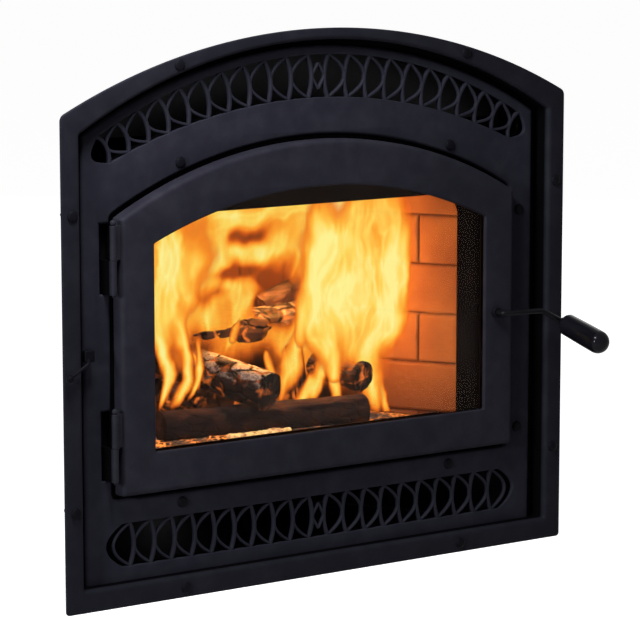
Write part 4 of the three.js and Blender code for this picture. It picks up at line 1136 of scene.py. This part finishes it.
def coalParts():
    # a row of small glowing lumps behind the lip, each its own rough round
    parts = []
    for index in range(coals["count"]):
        share = (index + 0.5) / coals["count"]
        chance = np.modf(np.sin(index * np.array([12.9, 78.2, 37.7, 91.3])) * 437.5)[0] * 0.5 + 0.5
        size = coals["size"][0] + (coals["size"][1] - coals["size"][0]) * chance[0]
        turn, tilt = np.meshgrid(np.arange(10) * pi / 5, np.linspace(-pi / 2, pi / 2, 7), indexing="xy")
        bumps = softNoise(np.cos(turn) * 1.6 + index, np.sin(tilt) * 1.6 + np.sin(turn), 3, 2)
        lump = size * (1 + 0.28 * bumps)
        place = [coals["from"] + (coals["to"] - coals["from"]) * share + 4 * chance[1],
                 coals["y"][0] + (coals["y"][1] - coals["y"][0]) * chance[2], coals["z"] + 2.5 * chance[3]]
        points = np.stack([lump * np.cos(tilt) * np.cos(turn) * 1.3, lump * np.cos(tilt) * np.sin(turn),
                           lump * np.sin(tilt) * 0.75], -1) + place
        parts.append((points, gridFaces(7, 10, closeColumns=True)))
    return parts


makePiece("glowing_coals", coalParts(), "fireplace", "coal", crease=80)

# Sheets of fire. A tongue is (foot x, foot z, tip x, tip z, half width, heat); negative heat parts the fire.
# taper narrows the tips, and roll turns the streaks level where the fire runs along under the roof.
flameSheets = {
    "rear": {"y": 205, "seed": 17, "taper": 0.2, "roll": 1, "tongues": [
        (-105, 294, -95, 573, 67, 0.58), (-8, 294, 1, 570, 70, 0.62), (91, 275, 101, 564, 67, 0.7),
        (178, 253, 188, 559, 79, 0.8), (-114, 528, 368, 548, 30, 0.78), (-140, 363, -131, 563, 61, 0.66),
        (272, 302, 279, 537, 61, 0.66), (-153, 543, 327, 528, 21, 0.6), (-48, 486, 91, 470, 15, 0.6),
        (-88, 358, -22, 431, 15, 0.62), (-42, 330, 19, 396, 12, 0.7), (19, 436, 106, 402, 26, -0.97),
        (11, 378, 102, 386, 27, -0.97), (-70, 447, 42, 451, 18, -0.93), (-52, 502, 42, 508, 15, -0.8),
        (-126, 361, -71, 322, 24, -0.6), (-104, 406, -22, 406, 14, -0.5)]},
    "left": {"y": 122, "seed": 5, "taper": 0.4, "roll": 0, "tongues": [
        (-203, 348, -198, 589, 36, 0.88), (-227, 320, -226, 582, 23, 0.86),
        (-164, 398, -149, 549, 27, 0.6), (-201, 257, -171, 406, 11, 0.8), (-222, 256, -228, 381, 12, 0.82),
        (-179, 270, -143, 373, 9, 0.75)]},
    "right": {"y": 118, "seed": 29, "taper": 0.25, "roll": 0, "tongues": [
        (72, 320, 65, 564, 48, 0.9), (126, 309, 122, 564, 58, 0.98), (188, 313, 203, 550, 48, 0.97),
        (231, 373, 257, 549, 23, 0.86), (31, 335, 23, 437, 18, 0.7), (106, 534, 238, 557, 39, 0.6),
        (169, 218, 168, 394, 27, 0.85), (88, 275, 65, 356, 24, 0.7)]},
    "low": {"y": 138, "seed": 41, "taper": 0.85, "roll": 0, "tongues": [
        (18, 244, 30, 378, 20, 0.88), (44, 232, 105, 349, 15, 0.94), (125, 230, 79, 328, 14, 0.88),
        (201, 202, 210, 316, 12, 0.9), (156, 268, 144, 359, 18, 0.78), (102, 264, 121, 367, 21, 0.8),
        (-144, 267, -161, 342, 9, 0.66), (-4, 265, -27, 330, 12, 0.7), (-78, 332, -56, 395, 12, 0.62)]},
}
flameShape = {"step": 2.6, "margin": 34, "head": 566, "side": 4, "fade": 26, "cut": 0.03, "wave": 13,
              "rollFrom": 470, "rollTo": 535}


def threads(x, z, seed):
    # thin bright lines, where smooth noise passes through zero
    return np.clip(1 - 3.2 * np.abs(softNoise(x, z, seed, 3)), 0, 1) ** 1.5


def flameHeat(x, z, sheet):
    # the sum of soft tongues in coordinates that swirl, with bright threads: from 0 outside to about 1
    seed = sheet["seed"]
    wx = x + 30 * softNoise(x / 85 + 3, z / 100, seed, 2) + 11 * softNoise(x / 30, z / 45, seed + 4, 3)
    wz = z + 26 * softNoise(x / 60, z / 80 + 9, seed + 8, 3)
    cool, gap = np.ones(x.shape), np.ones(x.shape)
    for footX, footZ, tipX, tipZ, wide, heat in sheet["tongues"]:
        run = unit([tipX - footX, tipZ - footZ])
        along = ((wx - footX) * run[0] + (wz - footZ) * run[1]) / np.hypot(tipX - footX, tipZ - footZ)
        off = (wx - footX) * run[1] - (wz - footZ) * run[0]
        share = np.clip(along, 0, 1)
        size = wide * (0.55 + 0.55 * np.sin(share * 2.6)) * (1 - sheet["taper"] * share ** 1.6)
        body = np.exp(-(off / size) ** 2) * softStep(along, -0.12, 0.22) * (1 - softStep(along, 0.66, 1.12))
        cool = cool * (1 - max(heat, 0) * body)
        gap = gap * (1 + min(heat, 0) * body)
    rising = 0.6 * threads(wx / 34, wz / 120, seed + 2) + 0.4 * threads(wx / 15, wz / 60, seed + 6)
    level = wz - 0.1 * wx
    rolling = (0.6 * threads((wx + 2.2 * wz) / 260, level / 30, seed + 3)
               + 0.4 * threads(wx / 120, level / 14, seed + 7))
    turn = sheet["roll"] * softStep(z, flameShape["rollFrom"], flameShape["rollTo"])
    thread = rising * (1 - turn) + rolling * turn
    return (1 - cool) * gap * (0.86 + 0.34 * thread + 0.36 * softNoise(wx / 60, wz / 70, seed + 12, 2))


def flameParts(sheet):
    # a waving upright sheet that holds its tongues; quads that no fire reaches are left out
    tongues = np.array(sheet["tongues"], float)
    burning = tongues[tongues[:, 5] > 0]
    margin, step = flameShape["margin"], flameShape["step"]
    room = clearHalf(sheet["y"]) - acrossBrick - flameShape["side"]
    left, right = burning[:, [0, 2]].min() - margin, burning[:, [0, 2]].max() + margin
    foot, head = burning[:, [1, 3]].min() - margin, burning[:, [1, 3]].max() + margin
    left, right = max(left, -room), min(right, room)
    foot, head = max(foot, firebox["hearthTop"] + 8), min(head, flameShape["head"])
    x, z = np.meshgrid(np.arange(left, right, step), np.arange(foot, head, step), indexing="ij")
    heat = flameHeat(x, z, sheet) * softStep(room - np.abs(x), 0, flameShape["fade"])
    y = sheet["y"] + flameShape["wave"] * softNoise(x / 95, z / 120, sheet["seed"] + 20, 2)
    faces = np.array(gridFaces(*x.shape))
    faces = faces[heat.ravel()[faces].max(axis=1) > flameShape["cut"]]
    used, faces = np.unique(faces, return_inverse=True)
    faces = faces.reshape(-1, 4)
    points = np.stack([x, y, z], -1).reshape(-1, 3)[used]
    corners = faces.ravel()
    heatMap = np.stack([heat.ravel()[used][corners], (points[corners, 2] - foot) / (head - foot)], -1)
    return [(points, faces.tolist())], heatMap


for place, fire in flameSheets.items():
    shape, heatMap = flameParts(fire)
    flame = makePiece("flame_" + place, shape, "fireplace", "flame", crease=180, closed=False,
                      uv=heatMap)
    flame.visible_shadow = flame.visible_diffuse = False
print("fire made")

# The collars: a flange, a throat that runs in to the pipe, rolled beads at shares of the length, and a rim.
# Throat and rim are rows of distance and step out from the radius; a bead is its half width and its height.
flue = {"radius": 76, "bore": 73, "length": 119.7, "foot": 650.3, "flange": 88, "edge": 0.5, "thick": 5,
        "throat": ((6.5, 1.5), (9, -2)), "beads": (0.42, 0.88), "bead": (5, 2),
        "rim": ((-1, -0.4), (0, -0.8)), "screwRing": 82}
inlet = {"radius": 50, "bore": 48, "length": 41.7, "front": 468.3, "z": 90, "flange": 60, "edge": 0.4,
         "thick": 3, "throat": ((4, 0.6), (6, -1.2)), "beads": (0.55,), "bead": (4, 1.2), "rim": ((0, -0.8),)}


def collarLine(size):
    # the collar's closed profile, in pairs of distance and radius; a bead is half an ellipse
    edge, flange, thick, radius = size["edge"], size["flange"], size["thick"], size["radius"]
    line = [[0, size["bore"]], [0, flange - edge], [edge, flange], [thick - edge, flange],
            [thick, flange - edge]]
    line += [[at, radius + out] for at, out in size["throat"]]
    half, out = size["bead"]
    turn = np.linspace(0, pi, 9)
    for share in size["beads"]:
        middle = size["length"] * share
        line += np.stack([middle - half * np.cos(turn), radius - out + out * np.sin(turn)], -1).tolist()
    line += [[size["length"] + at, radius + out] for at, out in size["rim"]]
    return line + [[size["length"], size["bore"]]]


foot = (0, drawing["flueDepth"], flue["foot"])
makePiece("flue_outlet_collar", [lathe(collarLine(flue), foot, (0, 0, 1), 72, hollow=True)],
          "fireplace", "steel", ["flue_collar"], 40)
foot = (0, inlet["front"], inlet["z"])
makePiece("outside_air_collar", [lathe(collarLine(inlet), foot, (0, 1, 0), 56, hollow=True)],
          "fireplace", "zinc", ["air_inlet_collar"], 40)

# CAD pieces that are seen as they are, and only get a finish.
# The hollow finish makes the sheets behind the face near black: painted shade for the dark inside.
plain = {
    "backing_frame": "hollow", "firebox_front": "hollow", "firebox_shell": "hollow", "baffle_board": "brick",
    "casing_wrap": "zinc", "casing_base": "hollow", "casing_top": "zinc", "warm_air_hood": "zincHood",
    "glass_tape": "sooty", "door_glass": "glass", "glass_retainer": "bolt", "latch_cam": "bolt",
    "latch_keeper": "bolt", "air_channel": "hollow", "air_shutter": "steel",
}
for name, finish in plain.items():
    mesh = nodes[name].data
    mesh.materials.clear()
    mesh.materials.append(finishes[finish].owner)

casing = {"half": 424, "shoulder": 52, "rear": 468, "splay": 0.6, "foot": 20, "head": 680, "screwPitch": 110,
          "screwInset": 14, "rearColumn": 150, "sideScrews": (0.08, 0.94, 5)}
screws = []
slope = unit([casing["splay"], 1.0])
low, high = casing["foot"] + casing["screwInset"], casing["head"] - casing["screwInset"]
for hand in (-1, 1):
    away = (hand * slope[1], slope[0], 0)
    for share in np.linspace(*casing["sideScrews"]):
        y = casing["shoulder"] + (casing["rear"] - casing["shoulder"]) * share
        x = hand * (casing["half"] - casing["splay"] * (y - casing["shoulder"]))
        screws += [panScrew(x, y, z, away) for z in (low, high)]
for z in np.arange(low, casing["head"], casing["screwPitch"]):
    screws += [panScrew(hand * casing["rearColumn"], casing["rear"], z, (0, 1, 0)) for hand in (-1, 1)]
for turn in np.arange(6) * pi / 3 + 0.3:
    x, y = flue["screwRing"] * np.cos(turn), drawing["flueDepth"] + flue["screwRing"] * np.sin(turn)
    screws.append(panScrew(x, y, flue["foot"] + 5, (0, 0, 1), 3, 1.8))
makePiece("casing_screws", screws, "fireplace", "steel", crease=60)
print("casing made")

# The stage: the camera as worked out from the photo, a pale room, three lamps and the fire's own light.
photo = {"place": (-2.483, -3.786, 1.044), "azimuth": -35.0, "down": 8.604, "focal": 163.1, "sensor": 36.0}
camera = bpy.data.cameras.new("photo_camera")
camera.sensor_fit, camera.sensor_width, camera.lens = "HORIZONTAL", photo["sensor"], photo["focal"]
camera.clip_end = 200
viewer = bpy.data.objects.new("photo_camera", camera)
viewer.location = photo["place"]
viewer.rotation_euler = (np.radians(90 - photo["down"]), 0, np.radians(photo["azimuth"]))
bpy.context.scene.collection.objects.link(viewer)
bpy.context.scene.camera = viewer
bpy.context.scene.view_settings.view_transform = "Standard"

studio = {"world": 0.20, "floor": 0.5, "worn": 0.985, "floorGlow": 0.88, "extent": 60.0,
          "aim": (0, -0.2, 0.4)}
# kind, place, energy, colour and size of each lamp
lamps = {
    "key": ("AREA", (-2.75, -1.20, 0.95), 72.0, (0.95, 0.97, 1.0), 0.4),
    "upper": ("AREA", (-0.55, -0.62, 1.42), 27.0, (0.95, 0.97, 1.0), 0.3),
    "back_fill": ("AREA", (2.6, 3.0, 2.4), 42.0, (1.0, 1.0, 1.0), 2.4),
    "fire_glow": ("POINT", (0.03, -0.07, 0.44), 7.6, (1.0, 0.44, 0.10), 0.05),
}


def seenDirectly(finish):
    # 1 for what the camera sees straight, in a reflection or through glass, and 0 for light that is thrown on
    rays = [finish.node("ShaderNodeLightPath", {}, {}, name)
            for name in ("Is Camera Ray", "Is Glossy Ray", "Is Transmission Ray")]
    return rays[0].most(rays[1]).most(rays[2])


sky = Finish("studio", bpy.data.worlds, "Background", Color=(1, 1, 1, 1))
sky.feed("Strength", seenDirectly(sky).ramp(0, 1, studio["world"], 1.0))
bpy.context.scene.world = sky.owner

for name, (kind, place, energy, colour, size) in lamps.items():
    data = bpy.data.lights.new(name, kind)
    data.energy, data.color = energy, colour
    setattr(data, "size" if kind == "AREA" else "shadow_soft_size", size)
    made = bpy.data.objects.new(name, data)
    made.location = place
    made.rotation_euler = (Vector(studio["aim"]) - made.location).to_track_quat("-Z", "Y").to_euler()
    bpy.context.scene.collection.objects.link(made)
    if kind == "POINT":
        made.visible_camera = made.visible_glossy = made.visible_transmission = False

floorMesh = bpy.data.meshes.new("floor")
reach = studio["extent"]
floorMesh.from_pydata([(-reach, -reach, 0), (reach, -reach, 0), (reach, reach, 0), (-reach, reach, 0)],
                      [], [(0, 1, 2, 3)])
floorObject = bpy.data.objects.new("floor", floorMesh)
bpy.context.scene.collection.objects.link(floorObject)
floorFinish = Finish("pale_floor", Specular_IOR_Level=0.0, Emission_Strength=1.0)
wear = floorFinish.noise(3, 3)
grey = studio["floor"]
floorFinish.done(floorFinish.blend(wear, (grey,) * 3, (grey * studio["worn"],) * 3), 0.9 + wear * 0.05)
direct = seenDirectly(floorFinish)
floorFinish.feed("Emission Color", floorFinish.blend(direct, (0, 0, 0), (studio["floorGlow"],) * 3))
floorMesh.materials.append(floorFinish.owner)
print("stage made")
